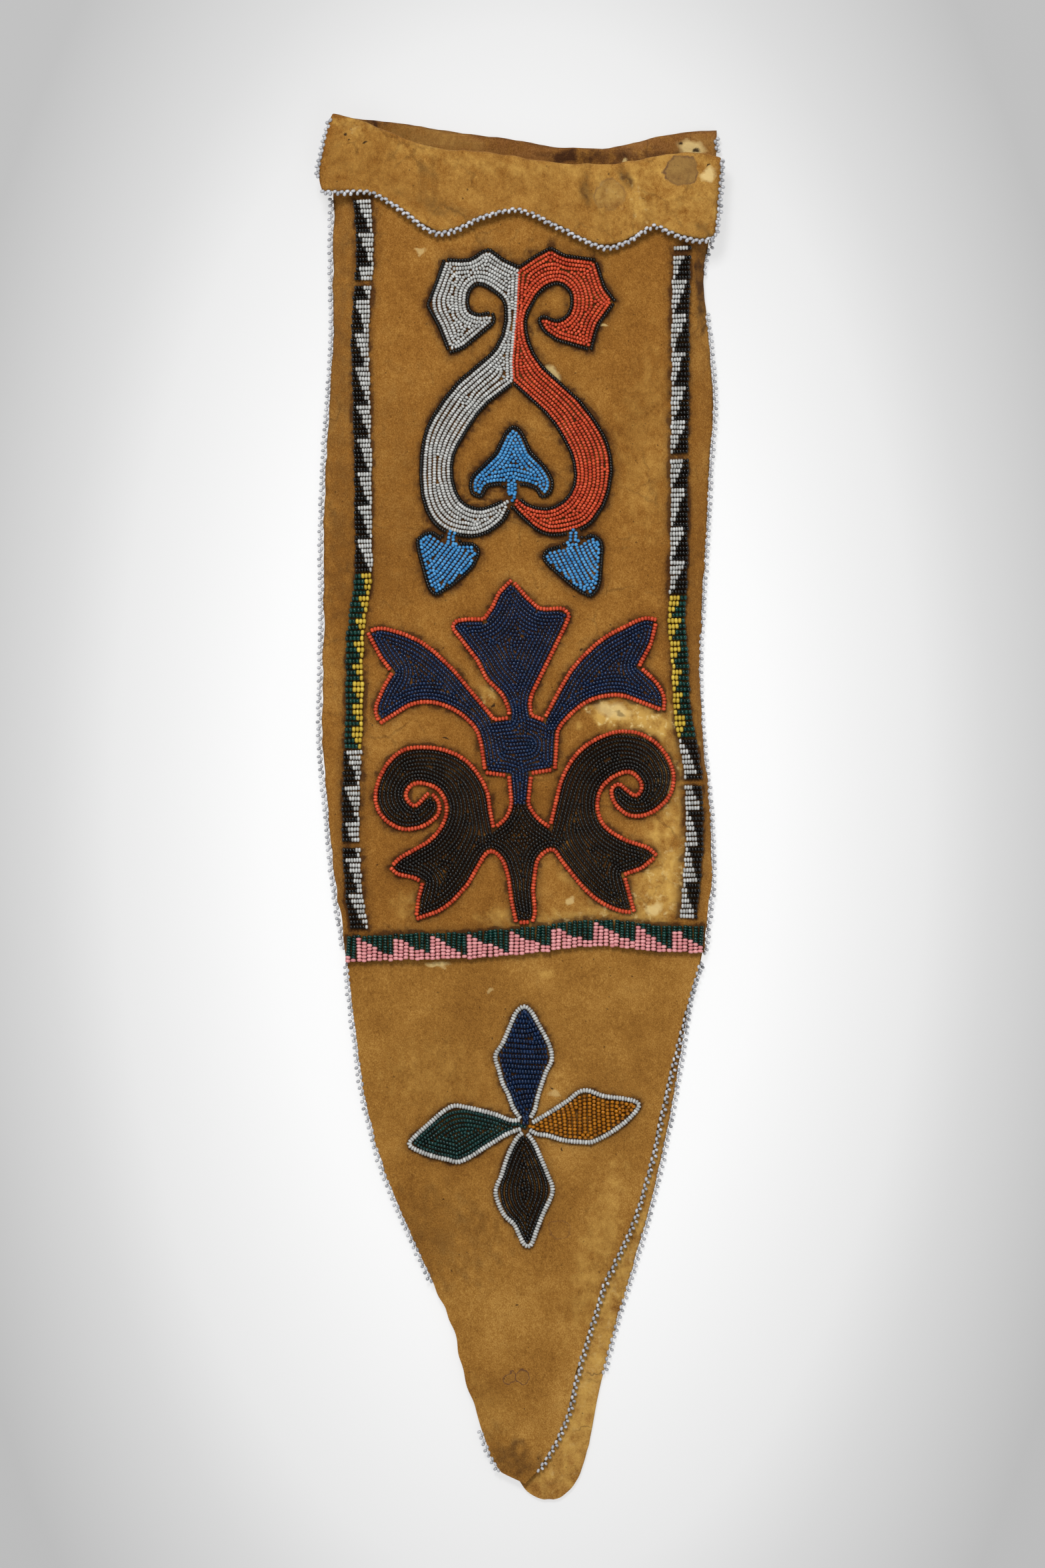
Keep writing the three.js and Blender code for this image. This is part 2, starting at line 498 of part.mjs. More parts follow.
// Cord of beads along a line of points
function cord(points, diameter = EDGE_BEAD) {
  const positions = [];
  const indices = [];
  const up = new THREE.Vector3(0, 0, 1);
  points.forEach((point, i) => {
    const ahead = wayAt(points, i);
    const side = ahead.clone().cross(up).normalize();
    const lift = ahead.clone().cross(side);
    for (let k = 0; k < CORD_SIDES; k += 1) {
      const angle = 2 * Math.PI * k / CORD_SIDES;
      const spot = point.clone().addScaledVector(side, Math.cos(angle) * diameter / 2);
      positions.push(...spot.addScaledVector(lift, Math.sin(angle) * diameter / 2));
    }
  });
  const ring = (i, k) => i * CORD_SIDES + k % CORD_SIDES;
  for (let i = 0; i < points.length - 1; i += 1) {
    for (let k = 0; k < CORD_SIDES; k += 1) {
      indices.push(ring(i, k), ring(i, k + 1), ring(i + 1, k + 1));
      indices.push(ring(i, k), ring(i + 1, k + 1), ring(i + 1, k));
    }
  }
  for (let k = 1; k < CORD_SIDES - 1; k += 1) {
    indices.push(ring(0, 0), ring(0, k + 1), ring(0, k));
    indices.push(ring(points.length - 1, 0), ring(points.length - 1, k), ring(points.length - 1, k + 1));
  }
  const geometry = new THREE.BufferGeometry();
  geometry.setAttribute('position', new THREE.Float32BufferAttribute(positions, 3));
  geometry.setIndex(indices);
  return geometry;
}

// Line beside a hide's edge where its edging runs; the outside is on the right of the direction of travel
function beside(points) {
  const reach = EDGE_BEAD / 2 + GAP;
  return points.map((point, i) => {
    const ahead = wayAt(points, i);
    const out = new THREE.Vector3(ahead.y, -ahead.x, 0).normalize();
    return point.clone().addScaledVector(out, reach);
  });
}

// Closed outline from its smooth stretches, followed closely enough for its curves
function outline(stretches) {
  const spots = [];
  let start = stretches[0][0];
  stretches.forEach((stretch, i) => {
    const knots = i === 0 ? stretch : [start, ...stretch];
    const line = new THREE.SplineCurve(knots.map(grade));
    const count = knots.length === 2 ? 1 : Math.ceil(line.getLength() / SAMPLE_STEP);
    spots.push(...line.getSpacedPoints(count).slice(0, -1));
    start = stretch.at(-1);
  });
  return THREE.ShapeUtils.isClockWise(spots) ? spots.reverse() : spots;
}

function distanceToOutline(spot, points) {
  let nearest = Infinity;
  points.forEach((a, i) => {
    const b = points[(i + 1) % points.length];
    const along = b.clone().sub(a);
    const share = THREE.MathUtils.clamp(spot.clone().sub(a).dot(along) / along.lengthSq(), 0, 1);
    nearest = Math.min(nearest, spot.distanceTo(a.clone().addScaledVector(along, share)));
  });
  return nearest;
}

// Point where two straight stretches cross, if they do
function crossing(a, b, c, d) {
  const ahead = b.clone().sub(a);
  const across = d.clone().sub(c);
  const between = c.clone().sub(a);
  const share = between.cross(across) / ahead.cross(across);
  const otherShare = between.cross(ahead) / ahead.cross(across);
  const inside = Math.min(share, otherShare) > 0 && Math.max(share, otherShare) < 1;
  return inside ? a.clone().addScaledVector(ahead, share) : null;
}

// Line without the small loops in which it crosses itself
function cutLoops(points) {
  const line = [...points];
  for (let i = 0; i < line.length - 1; i += 1) {
    for (let j = Math.min(i + LOOP_REACH, line.length - 2); j > i + 1; j -= 1) {
      const meeting = crossing(line[i], line[i + 1], line[j], line[j + 1]);
      if (meeting) {
        line.splice(i + 1, j - i, meeting);
        break;
      }
    }
  }
  return line;
}

// Outline moved outwards by a distance, or inwards by a negative one, without the loops at tight corners
function offset(points, distance) {
  const moved = points.map((point, i) => {
    const before = point.clone().sub(points.at(i - 1)).normalize();
    const after = points[(i + 1) % points.length].clone().sub(point).normalize();
    const out = new THREE.Vector2(before.y + after.y, -before.x - after.x);
    return point.clone().addScaledVector(out, distance / Math.max(CORNER_LIMIT, 1 + before.dot(after)));
  });
  const slack = SAMPLE_STEP / 20;
  const kept = moved.filter((spot) => distanceToOutline(spot, points) > Math.abs(distance) - slack);
  const cut = cutLoops(kept);
  const half = Math.floor(cut.length / 2);
  return cutLoops([...cut.slice(half), ...cut.slice(0, half)]);
}

// Outline with only the points that its curves need
function simplify(points) {
  const keep = (first, last) => {
    let worst = 0;
    let at = -1;
    const chord = new THREE.Line3();
    chord.start.set(points[first].x, points[first].y, 0);
    chord.end.set(points[last].x, points[last].y, 0);
    for (let i = first + 1; i < last; i += 1) {
      const spot = new THREE.Vector3(points[i].x, points[i].y, 0);
      const away = chord.closestPointToPoint(spot, true, new THREE.Vector3()).distanceTo(spot);
      if (away > worst) [worst, at] = [away, i];
    }
    return worst > CURVE_TOLERANCE ? [...keep(first, at), ...keep(at, last)] : [points[first]];
  };
  const half = Math.floor(points.length / 2);
  return [...keep(0, half), ...keep(half, points.length - 1), points.at(-1)];
}

// Flat plate of beadwork with an outline and perhaps a hole
function plate(points, hole) {
  const shape = new THREE.Shape(points);
  if (hole) shape.holes.push(new THREE.Path(hole));
  return new THREE.ExtrudeGeometry(shape, { depth: BEADWORK, bevelEnabled: false });
}

// Field of an outlined figure, and the bead row round it
function fieldOf(points, row) {
  return plate(simplify(offset(points, -row - GAP)));
}

function ringOf(points, row) {
  return plate(simplify(points), simplify(offset(points, -row)));
}

// Solids for cutting and joining
function solid(geometry) {
  const bare = geometry.clone();
  bare.deleteAttribute('normal');
  bare.deleteAttribute('uv');
  const merged = mergeVertices(bare);
  const vertProperties = new Float32Array(merged.attributes.position.array);
  const triVerts = new Uint32Array(merged.index.array);
  return new wasm.Manifold(new wasm.Mesh({ numProp: 3, vertProperties, triVerts }));
}

function geometryOf(body) {
  const mesh = body.getMesh();
  const geometry = new THREE.BufferGeometry();
  geometry.setAttribute('position', new THREE.Float32BufferAttribute(mesh.vertProperties, 3));
  geometry.setIndex([...mesh.triVerts]);
  return geometry;
}

// Prism that stands through the beadwork, for cutting it
function cutter(points) {
  const through = { depth: 3 * BEADWORK, bevelEnabled: false };
  const geometry = new THREE.ExtrudeGeometry(new THREE.Shape(points), through);
  return solid(geometry.translate(0, 0, -BEADWORK));
}

function stemPoints({ left, right, foot, head }, clearance) {
  const low = grade([left, foot]);
  const high = grade([right, head]);
  return [
    new THREE.Vector2(low.x - clearance, low.y - clearance),
    new THREE.Vector2(high.x + clearance, low.y - clearance),
    new THREE.Vector2(high.x + clearance, high.y + clearance),
    new THREE.Vector2(low.x - clearance, high.y + clearance),
  ];
}

// Leaf or heart on a stem: the stem joins the field, passes through the bead row and ends at the scroll
function stemmedFigure(stretches, stem, trim) {
  const points = outline(stretches);
  const field = solid(fieldOf(points, BLACK_ROW)).add(solid(plate(stemPoints(stem, 0))));
  const row = solid(ringOf(points, BLACK_ROW)).subtract(cutter(stemPoints(stem, GAP)));
  return { field: geometryOf(trim(field)), row: geometryOf(trim(row)) };
}

const bag = new THREE.Group();
const panelWork = new THREE.Group();
const tailWork = new THREE.Group();
panelWork.position.set(0, bandY, panelLowMid + HIDE / 2 + GAP);
panelWork.rotation.x = panelTilt;
tailWork.position.z = tailMid + HIDE / 2 + GAP;
bag.add(panelWork, tailWork);

function addPiece(parent, name, geometry, colour, roughness = GLOSSY_BEAD) {
  const material = new THREE.MeshStandardMaterial({ color: COLOURS[colour], roughness, metalness: 0 });
  const mesh = new THREE.Mesh(geometry, material);
  mesh.name = name;
  parent.add(mesh);
}

// Beadwork on the panel is drawn in the bag's frame, and the tilted panel carries it from the band up
function addToPanel(name, geometry, colour) {
  addPiece(panelWork, name, geometry.translate(0, -bandY, 0), colour);
}

// Hides
const front = makeFrontHide();
addPiece(bag, 'front_hide', front.geometry, 'panel', MATTE_HIDE);
addPiece(bag, 'back_hide', makeBackHide(), 'back', MATTE_HIDE);

const tailSides = [frontTailLeft, frontTailRight].map((side) => {
  const rows = TAIL_ROWS.map(gradeY).filter((y) => y > gradeY(FRONT_TAIL_LEFT.at(-1)[1]));
  return [...rows, tailTopY].map((y) => new THREE.Vector3(side(y), y, tailMid));
});
const tailTip = grade(FRONT_TAIL_LEFT.at(-1));
const tailRound = [...tailSides[0].toReversed(), tailTip, ...tailSides[1]];
const tailShape = new THREE.Shape(tailRound.map(({ x, y }) => new THREE.Vector2(x, y)));
const tailPlate = new THREE.ExtrudeGeometry(tailShape, { depth: HIDE, bevelEnabled: false });
addPiece(bag, 'front_tail', tailPlate.translate(0, 0, tailMid - HIDE / 2), 'tail', MATTE_HIDE);

// Beaded edging along the hides, each line walked with the outside on its right
function within(points, [foot, head]) {
  return points.filter(({ y }) => y > gradeY(foot) && y < gradeY(head));
}

function addEdging(name, points) {
  addPiece(bag, name, cord(beside(points)), 'white');
}

const cuffSides = front.cuff.slice(0, -1);
const seamSide = (column, head) => {
  const outer = column ? Math.max : Math.min;
  const sewn = front.panel.slice(1).map((row) => row.at(column));
  const foot = sewn.at(-1);
  const above = front.halfway.at(column);
  for (const y of [backCuffY - BACK_RAMP, gradeY(head)]) {
    const spot = foot.clone().lerp(above, (y - foot.y) / (above.y - foot.y));
    spot.x = outer(spot.x, backEdges(y).at(column));
    sewn.push(spot);
  }
  return sewn.map(({ x, y }) => new THREE.Vector3(x, y, backMid(y) + hideStep / 2));
};
const backTailSide = (side) => TAIL_ROWS.map((drawnY) => {
  const y = gradeY(drawnY);
  return new THREE.Vector3(backEdges(y)[side], y, HIDE / 2);
});
addEdging('cuff_edge_beads', front.cuff.at(-1));
addEdging('cuff_left_edge_beads', cuffSides.map((row) => row[0]));
addEdging('cuff_right_edge_beads', cuffSides.map((row) => row.at(-1)).toReversed());
addEdging('left_seam_beads', seamSide(0, SEAM_HEADS[0]).toReversed());
addEdging('right_seam_beads', seamSide(-1, SEAM_HEADS[1]));
addEdging('front_tail_left_edge_beads', within(tailSides[0], FRONT_LEFT_EDGING).toReversed());
addEdging('front_tail_tip_beads', within(tailSides[0], FRONT_TIP_EDGING).toReversed());
addEdging('front_tail_right_edge_beads', within(tailSides[1], FRONT_RIGHT_EDGING));
addEdging('back_tail_right_edge_beads', within(backTailSide(1), BACK_EDGING));
addEdging('back_tail_left_edge_beads', within(backTailSide(0), BACK_EDGING).toReversed());

// Lanes: two colours part along a line of saw teeth that steps back at each tooth
function laneSection(lane, top, foot, tooth, leftBeads) {
  const bead = LANE_WIDTH / LANE_BEADS;
  const count = Math.round((top - foot) / tooth);
  const height = (top - foot) / count;
  const spot = (across, y) => new THREE.Vector2(lane(y) + across - LANE_WIDTH / 2, y);
  const parting = [];
  const leftEdge = [];
  const rightEdge = [];
  for (let i = 0; i <= count; i += 1) {
    leftEdge.push(spot(0, top - i * height));
    rightEdge.push(spot(LANE_WIDTH, top - i * height));
  }
  for (let i = 0; i < count; i += 1) {
    parting.push(spot(leftBeads[0] * bead, top - i * height));
    parting.push(spot(leftBeads[1] * bead, top - (i + 1) * height));
  }
  const trim = (points) => plate(offset(points, -GAP / 2));
  return {
    left: trim([...leftEdge, ...parting.toReversed()]),
    right: trim([...rightEdge.toReversed(), ...parting]),
  };
}

const laneParts = [
  { side: 'left', lane: leftLane, breaks: LEFT_LANE_BREAKS, sections: [
    { part: 'upper', tooth: LONG_TOOTH, leftBeads: [1, 6], colours: ['black', 'white'] },
    { part: 'middle', tooth: SHORT_TOOTH, leftBeads: [2, 6], colours: ['green', 'yellow'] },
    { part: 'lower', tooth: LONG_TOOTH, leftBeads: [1, 6], colours: ['black', 'white'] },
  ] },
  { side: 'right', lane: rightLane, breaks: RIGHT_LANE_BREAKS, sections: [
    { part: 'upper', tooth: LONG_TOOTH, leftBeads: [6, 1], colours: ['white', 'black'] },
    { part: 'middle', tooth: SHORT_TOOTH, leftBeads: [5, 1], colours: ['yellow', 'green'] },
    { part: 'lower', tooth: LONG_TOOTH, leftBeads: [1, 6], colours: ['white', 'black'] },
  ] },
];
for (const { side, lane, breaks, sections } of laneParts) {
  sections.forEach(({ part, tooth, leftBeads, colours }, i) => {
    const { left, right } = laneSection(lane, gradeY(breaks[i]), gradeY(breaks[i + 1]), tooth, leftBeads);
    addToPanel(`${side}_lane_${part}_${colours[0]}`, left, colours[0]);
    addToPanel(`${side}_lane_${part}_${colours[1]}`, right, colours[1]);
  });
}

// Band: pink teeth that fall from left to right under a green ground
const bandLeft = gradeX(BAND_LINE[0][0]);
const bandRight = gradeX(BAND_LINE.at(-1)[0]);
const bandBead = BAND_HEIGHT / BAND_BEADS;
const bandSpot = (x, beads) => new THREE.Vector2(x, bandLine(x) + beads * bandBead - BAND_HEIGHT / 2);
const bandParting = [bandSpot(bandLeft, BAND_FIRST_FALL[0])];
const bandStations = [bandLeft];
let fallTo = BAND_FIRST_FALL[1];
for (let x = bandLeft + BAND_FIRST_TOOTH; x < bandRight; x += BAND_TOOTH) {
  bandParting.push(bandSpot(x, fallTo), bandSpot(x, BAND_FALL[0]));
  bandStations.push(x);
  fallTo = lerp(...BAND_FALL, Math.min(1, (bandRight - x) / BAND_TOOTH));
}
bandParting.push(bandSpot(bandRight, fallTo));
bandStations.push(bandRight);
const bandFoot = bandStations.map((x) => bandSpot(x, 0));
const bandHead = bandStations.map((x) => bandSpot(x, BAND_BEADS));
addToPanel('tail_band_pink', plate(offset([...bandFoot, ...bandParting.toReversed()], -GAP / 2)), 'pink');
addToPanel('tail_band_green', plate(offset([...bandParting, ...bandHead.toReversed()], -GAP / 2)), 'green');

// Double scroll: one row of black round it and round its opening, and two colours that part in the middle
const scroll = outline(SCROLL);
const scrollHole = outline(SCROLL_HOLE);
const scrollField = solid(fieldOf(scroll, BLACK_ROW))
  .subtract(cutter(simplify(offset(scrollHole, BLACK_ROW + GAP))));
const divide = SCROLL_DIVIDE.map(grade);
const foot = SCROLL_FOOT.map(grade);
const halfAt = (sign) => cutter([
  ...divide.map(({ x, y }) => new THREE.Vector2(x + sign * GAP / 2, y)),
  ...foot.map(({ x, y }) => new THREE.Vector2(x + sign * FOOT_CLEARANCE, y)),
  new THREE.Vector2(sign * BAG_WIDTH / 2, foot.at(-1).y),
  new THREE.Vector2(sign * BAG_WIDTH / 2, divide[0].y),
]);
addToPanel('scroll_white_field', geometryOf(scrollField.intersect(halfAt(-1))), 'white');
addToPanel('scroll_red_field', geometryOf(scrollField.intersect(halfAt(1))), 'red');
addToPanel('scroll_outer_outline', ringOf(scroll, BLACK_ROW), 'black');
const aroundHole = offset(scrollHole, BLACK_ROW);
addToPanel('scroll_inner_outline', plate(simplify(aroundHole), simplify(scrollHole)), 'black');

// Blue leaf in the scroll's opening and the two hearts that hang from it
const roundScroll = cutter(simplify(offset(scroll, GAP)));
const insideHole = cutter(simplify(offset(scrollHole, -GAP)));
const blueFigures = {
  trefoil: [TREFOIL, TREFOIL_STEM, (body) => body.intersect(insideHole)],
  left_heart: [LEFT_HEART, LEFT_HEART_STEM, (body) => body.subtract(roundScroll)],
  right_heart: [RIGHT_HEART, RIGHT_HEART_STEM, (body) => body.subtract(roundScroll)],
};
for (const [name, [stretches, stem, trim]] of Object.entries(blueFigures)) {
  const { field, row } = stemmedFigure(stretches, stem, trim);
  addToPanel(`${name}_field`, field, 'blue');
  addToPanel(`${name}_outline`, row, 'black');
}

// Plant over two black scrolls, inside one red row
const plant = outline(PLANT);
const plantField = solid(fieldOf(plant, RED_ROW));
const plantDivide = PLANT_DIVIDE.map(grade);
const plantPart = (sign, limitY) => cutter([
  ...plantDivide.map(({ x, y }) => new THREE.Vector2(x, y + sign * GAP / 2)),
  new THREE.Vector2(plantDivide.at(-1).x, limitY),
  new THREE.Vector2(plantDivide[0].x, limitY),
]);
addToPanel('navy_plant_field', geometryOf(plantField.intersect(plantPart(1, mouthY))), 'navy');
addToPanel('black_scroll_field', geometryOf(plantField.intersect(plantPart(-1, bandY))), 'black');
addToPanel('plant_outline', ringOf(plant, RED_ROW), 'red');

// Four-petalled flower on the tail
const petals = { top: [TOP_PETAL, 'navy'], right: [RIGHT_PETAL, 'ochre'], bottom: [BOTTOM_PETAL, 'black'],
  left: [LEFT_PETAL, 'teal'] };
for (const [name, [stretches, colour]] of Object.entries(petals)) {
  const points = outline(stretches);
  addPiece(tailWork, `${name}_petal_field`, fieldOf(points, WHITE_ROW), colour);
  addPiece(tailWork, `${name}_petal_outline`, ringOf(points, WHITE_ROW), 'white');
}

export default bag;
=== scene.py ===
"""Looks of a beaded hide pipe bag that lies on its back.

The frame gives every size and place. The three hides are drawn from their solids and get nap, wear, stains and
painted light and shade, and each field and row of beadwork is strung from single seed beads on the ground of its
plate.
"""

import json
import logging
import math
from dataclasses import dataclass, field, replace
from enum import Enum
from functools import cache, partial

import bpy
import numpy as np
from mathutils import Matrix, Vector
from mathutils.kdtree import KDTree

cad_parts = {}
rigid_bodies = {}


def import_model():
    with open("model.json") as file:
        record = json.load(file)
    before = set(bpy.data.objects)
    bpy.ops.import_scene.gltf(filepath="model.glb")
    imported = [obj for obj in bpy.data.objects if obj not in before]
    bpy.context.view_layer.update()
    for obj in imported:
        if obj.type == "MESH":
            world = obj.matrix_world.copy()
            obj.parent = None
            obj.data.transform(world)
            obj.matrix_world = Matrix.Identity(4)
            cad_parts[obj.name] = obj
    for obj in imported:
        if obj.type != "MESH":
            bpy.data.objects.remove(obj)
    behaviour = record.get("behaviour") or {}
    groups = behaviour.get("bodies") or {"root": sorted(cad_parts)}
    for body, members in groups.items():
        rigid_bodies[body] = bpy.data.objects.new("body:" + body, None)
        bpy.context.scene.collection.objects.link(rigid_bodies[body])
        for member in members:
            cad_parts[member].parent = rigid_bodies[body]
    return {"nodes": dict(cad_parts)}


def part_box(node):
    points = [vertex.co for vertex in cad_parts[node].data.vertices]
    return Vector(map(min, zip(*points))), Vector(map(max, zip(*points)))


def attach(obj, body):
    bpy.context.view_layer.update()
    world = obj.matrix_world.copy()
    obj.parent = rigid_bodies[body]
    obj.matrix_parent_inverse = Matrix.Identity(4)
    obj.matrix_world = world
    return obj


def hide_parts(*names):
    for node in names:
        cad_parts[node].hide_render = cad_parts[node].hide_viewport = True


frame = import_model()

LOG = logging.getLogger("pipe_bag")
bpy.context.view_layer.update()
BODY = "root"

# Millimetres in metres: every size below is in millimetres
MM = 0.001
# Clearance that the plates keep from the hide under them
STITCH_GAP = 0.3
SEED = 41
# Spot radii that put what lies under a spot's height clear of it
OUT_OF_REACH = 9.0
# How beads differ: size, direction of the hole, and the mean and spread of their tone
SIZE_SPREAD, WAY_SPREAD, TONE, TONE_SPREAD = 0.035, 0.06, 0.55, 0.28
# Turn of an edge from which it stays sharp on a smoothed hide, in degrees
FOLD_ANGLE = 50


class Mark(Enum):
    """Wear, soil and painted light and shade on a hide at one place, and the attribute that holds each."""

    # Wear, and painted light on the ridges of creases
    WEAR = "wear"
    # Soil, and painted shade round and under the beads and in the furrows of creases
    SOIL = "soil"
    # Painted shade inside the mouth
    INNER = "inner"


class Layer(Enum):
    """Hide, or part of one, that beads are sewn to."""

    BACK = "back hide"
    TAIL = "front tail"
    PANEL = "front panel"
    CUFF = "front cuff"


class Blemish(Enum):
    """Small mark with a clear edge."""

    SLIT = "cut or hole"
    SCUFF = "rubbed pale"
    STAIN = "dried wet patch with a dark rim"
    RING = "dark rim of a drop, pale inside"


class Fill(Enum):
    """How a field of beads is laid."""

    CONTOUR = "rows that follow the outline inwards"
    STRAIGHT = "straight rows"
    LINE = "one row along the outline"


def linear(code: str) -> tuple[float, float, float, float]:
    """Turns an sRGB colour into linear light.

    Args:
        code: the colour as "#RRGGBB".

    Returns:
        Red, green, blue and an alpha of 1.
    """
    parts = [int(code[i:i + 2], 16) / 255 for i in (1, 3, 5)]
    return (*(p / 12.92 if p <= 0.04045 else ((p + 0.055) / 1.055) ** 2.4 for p in parts), 1.0)


def add_node(
    tree: bpy.types.NodeTree, kind: str, inputs: dict, output: int | str = 0, stops: tuple = (), **settings: object
) -> bpy.types.NodeSocket | None:
    """Adds one node with its settings, values and links.

    Args:
        tree: the tree that gets the node.
        kind: the node's type, without the word that all types start with.
        inputs: value or output socket for each input, by its name or number.
        output: name or number of the output that is wanted.
        stops: places and colours of a colour ramp.
        **settings: properties of the node itself.

    Returns:
        The wanted output, or None for a node that has none.
    """
    node = tree.nodes.new(f"ShaderNode{kind}")
    for name, value in settings.items():
        setattr(node, name, value)
    for key, value in inputs.items():
        if isinstance(value, bpy.types.NodeSocket):
            tree.links.new(value, node.inputs[key])
        else:
            node.inputs[key].default_value = value
    for i, (place, colour) in enumerate(stops):
        ramp = node.color_ramp.elements
        stop = ramp[i] if i < len(ramp) else ramp.new(place)
        stop.position = place
        stop.color = linear(colour)
    return node.outputs[output] if len(node.outputs) else None


def new_tree(name: str) -> tuple[bpy.types.Material, bpy.types.NodeTree]:
    """Makes an empty material.

    Args:
        name: the material's name.

    Returns:
        The material and its node tree.
    """
    material = bpy.data.materials.new(name)
    material.use_nodes = True
    material.node_tree.nodes.clear()
    return material, material.node_tree


@dataclass(frozen=True)
class GlassFinish:
    """Drawn and tumbled seed bead glass.

    It gives the eye small bright highlights, a tone that differs from bead to bead, and painted shade with
    some soil in the crevices where bead ends meet.
    """

    name: str
    slot: str
    light: str
    dark: str
    # Colour of the painted shade and soil at the bead ends
    crevice_shade_and_soil: str = "#24180C"
    gloss: float = 0.5
    roughness: float = 0.1
    # How strongly that painted shade and soil darken the bead ends
    end_shade_and_soil: float = 0.5

    @cache
    def material(self) -> bpy.types.Material:
        """Makes the glass, tinted by each bead's tone and darkened at its ends with painted shade and soil.

        Returns:
            The material.
        """
        material, tree = new_tree(self.name)
        node = partial(add_node, tree)
        tone, end = (node("Attribute", {}, "Fac", attribute_name=name) for name in ("tone", "end"))
        glass = node("Mix", {0: tone, 6: linear(self.dark), 7: linear(self.light)}, 2, data_type="RGBA")
        # Painted shade, with some soil, darkens the ends of each bead where it meets the next
        end_shade_and_soil = node("Math", {0: end, 1: self.end_shade_and_soil}, operation="MULTIPLY")
        colour = node("Mix", {0: end_shade_and_soil, 6: glass, 7: linear(self.crevice_shade_and_soil)}, 2, data_type="RGBA")
        surface = {"Base Color": colour, "Roughness": self.roughness, "IOR": 1.5, "Specular IOR Level": self.gloss}
        node("OutputMaterial", {"Surface": node("BsdfPrincipled", surface)})
        return material


@dataclass(frozen=True)
class Spot:
    """Place of one small mark, how strongly it shows, and the height from which it does."""

    kind: Blemish
    x: float
    y: float
    half_length: float
    half_width: float
    turn: float = 0.0
    strength: float = 1.0
    low: float = 0.0

    def away(self, tree: bpy.types.NodeTree, place: bpy.types.NodeSocket) -> bpy.types.NodeSocket:
        """Measures how far a place is from the middle, where 1 is on the spot's edge.

        Args:
            tree: the tree that gets the nodes.
            place: the place that is looked at.

        Returns:
            Socket with the distance.
        """
        node = partial(add_node, tree)
        lie = {
            "Location": (self.x * MM, self.y * MM, 0),
            "Rotation": (0, 0, math.radians(self.turn)),
            "Scale": (self.half_length * MM, self.half_width * MM, 1.0),
        }
        there = node("Mapping", {"Vector": place, **lie}, vector_type="TEXTURE")
        flat = node("VectorMath", {0: there, 1: (1.0, 1.0, 0.0)}, operation="MULTIPLY")
        away = node("VectorMath", {0: flat}, "Value", operation="LENGTH")
        if not self.low:
            return away
        height = node("SeparateXYZ", {0: place}, "Z")
        under = node("Math", {0: height, 1: self.low * MM}, operation="LESS_THAN")
        return node("Math", {0: under, 1: OUT_OF_REACH, 2: away}, operation="MULTIPLY_ADD")


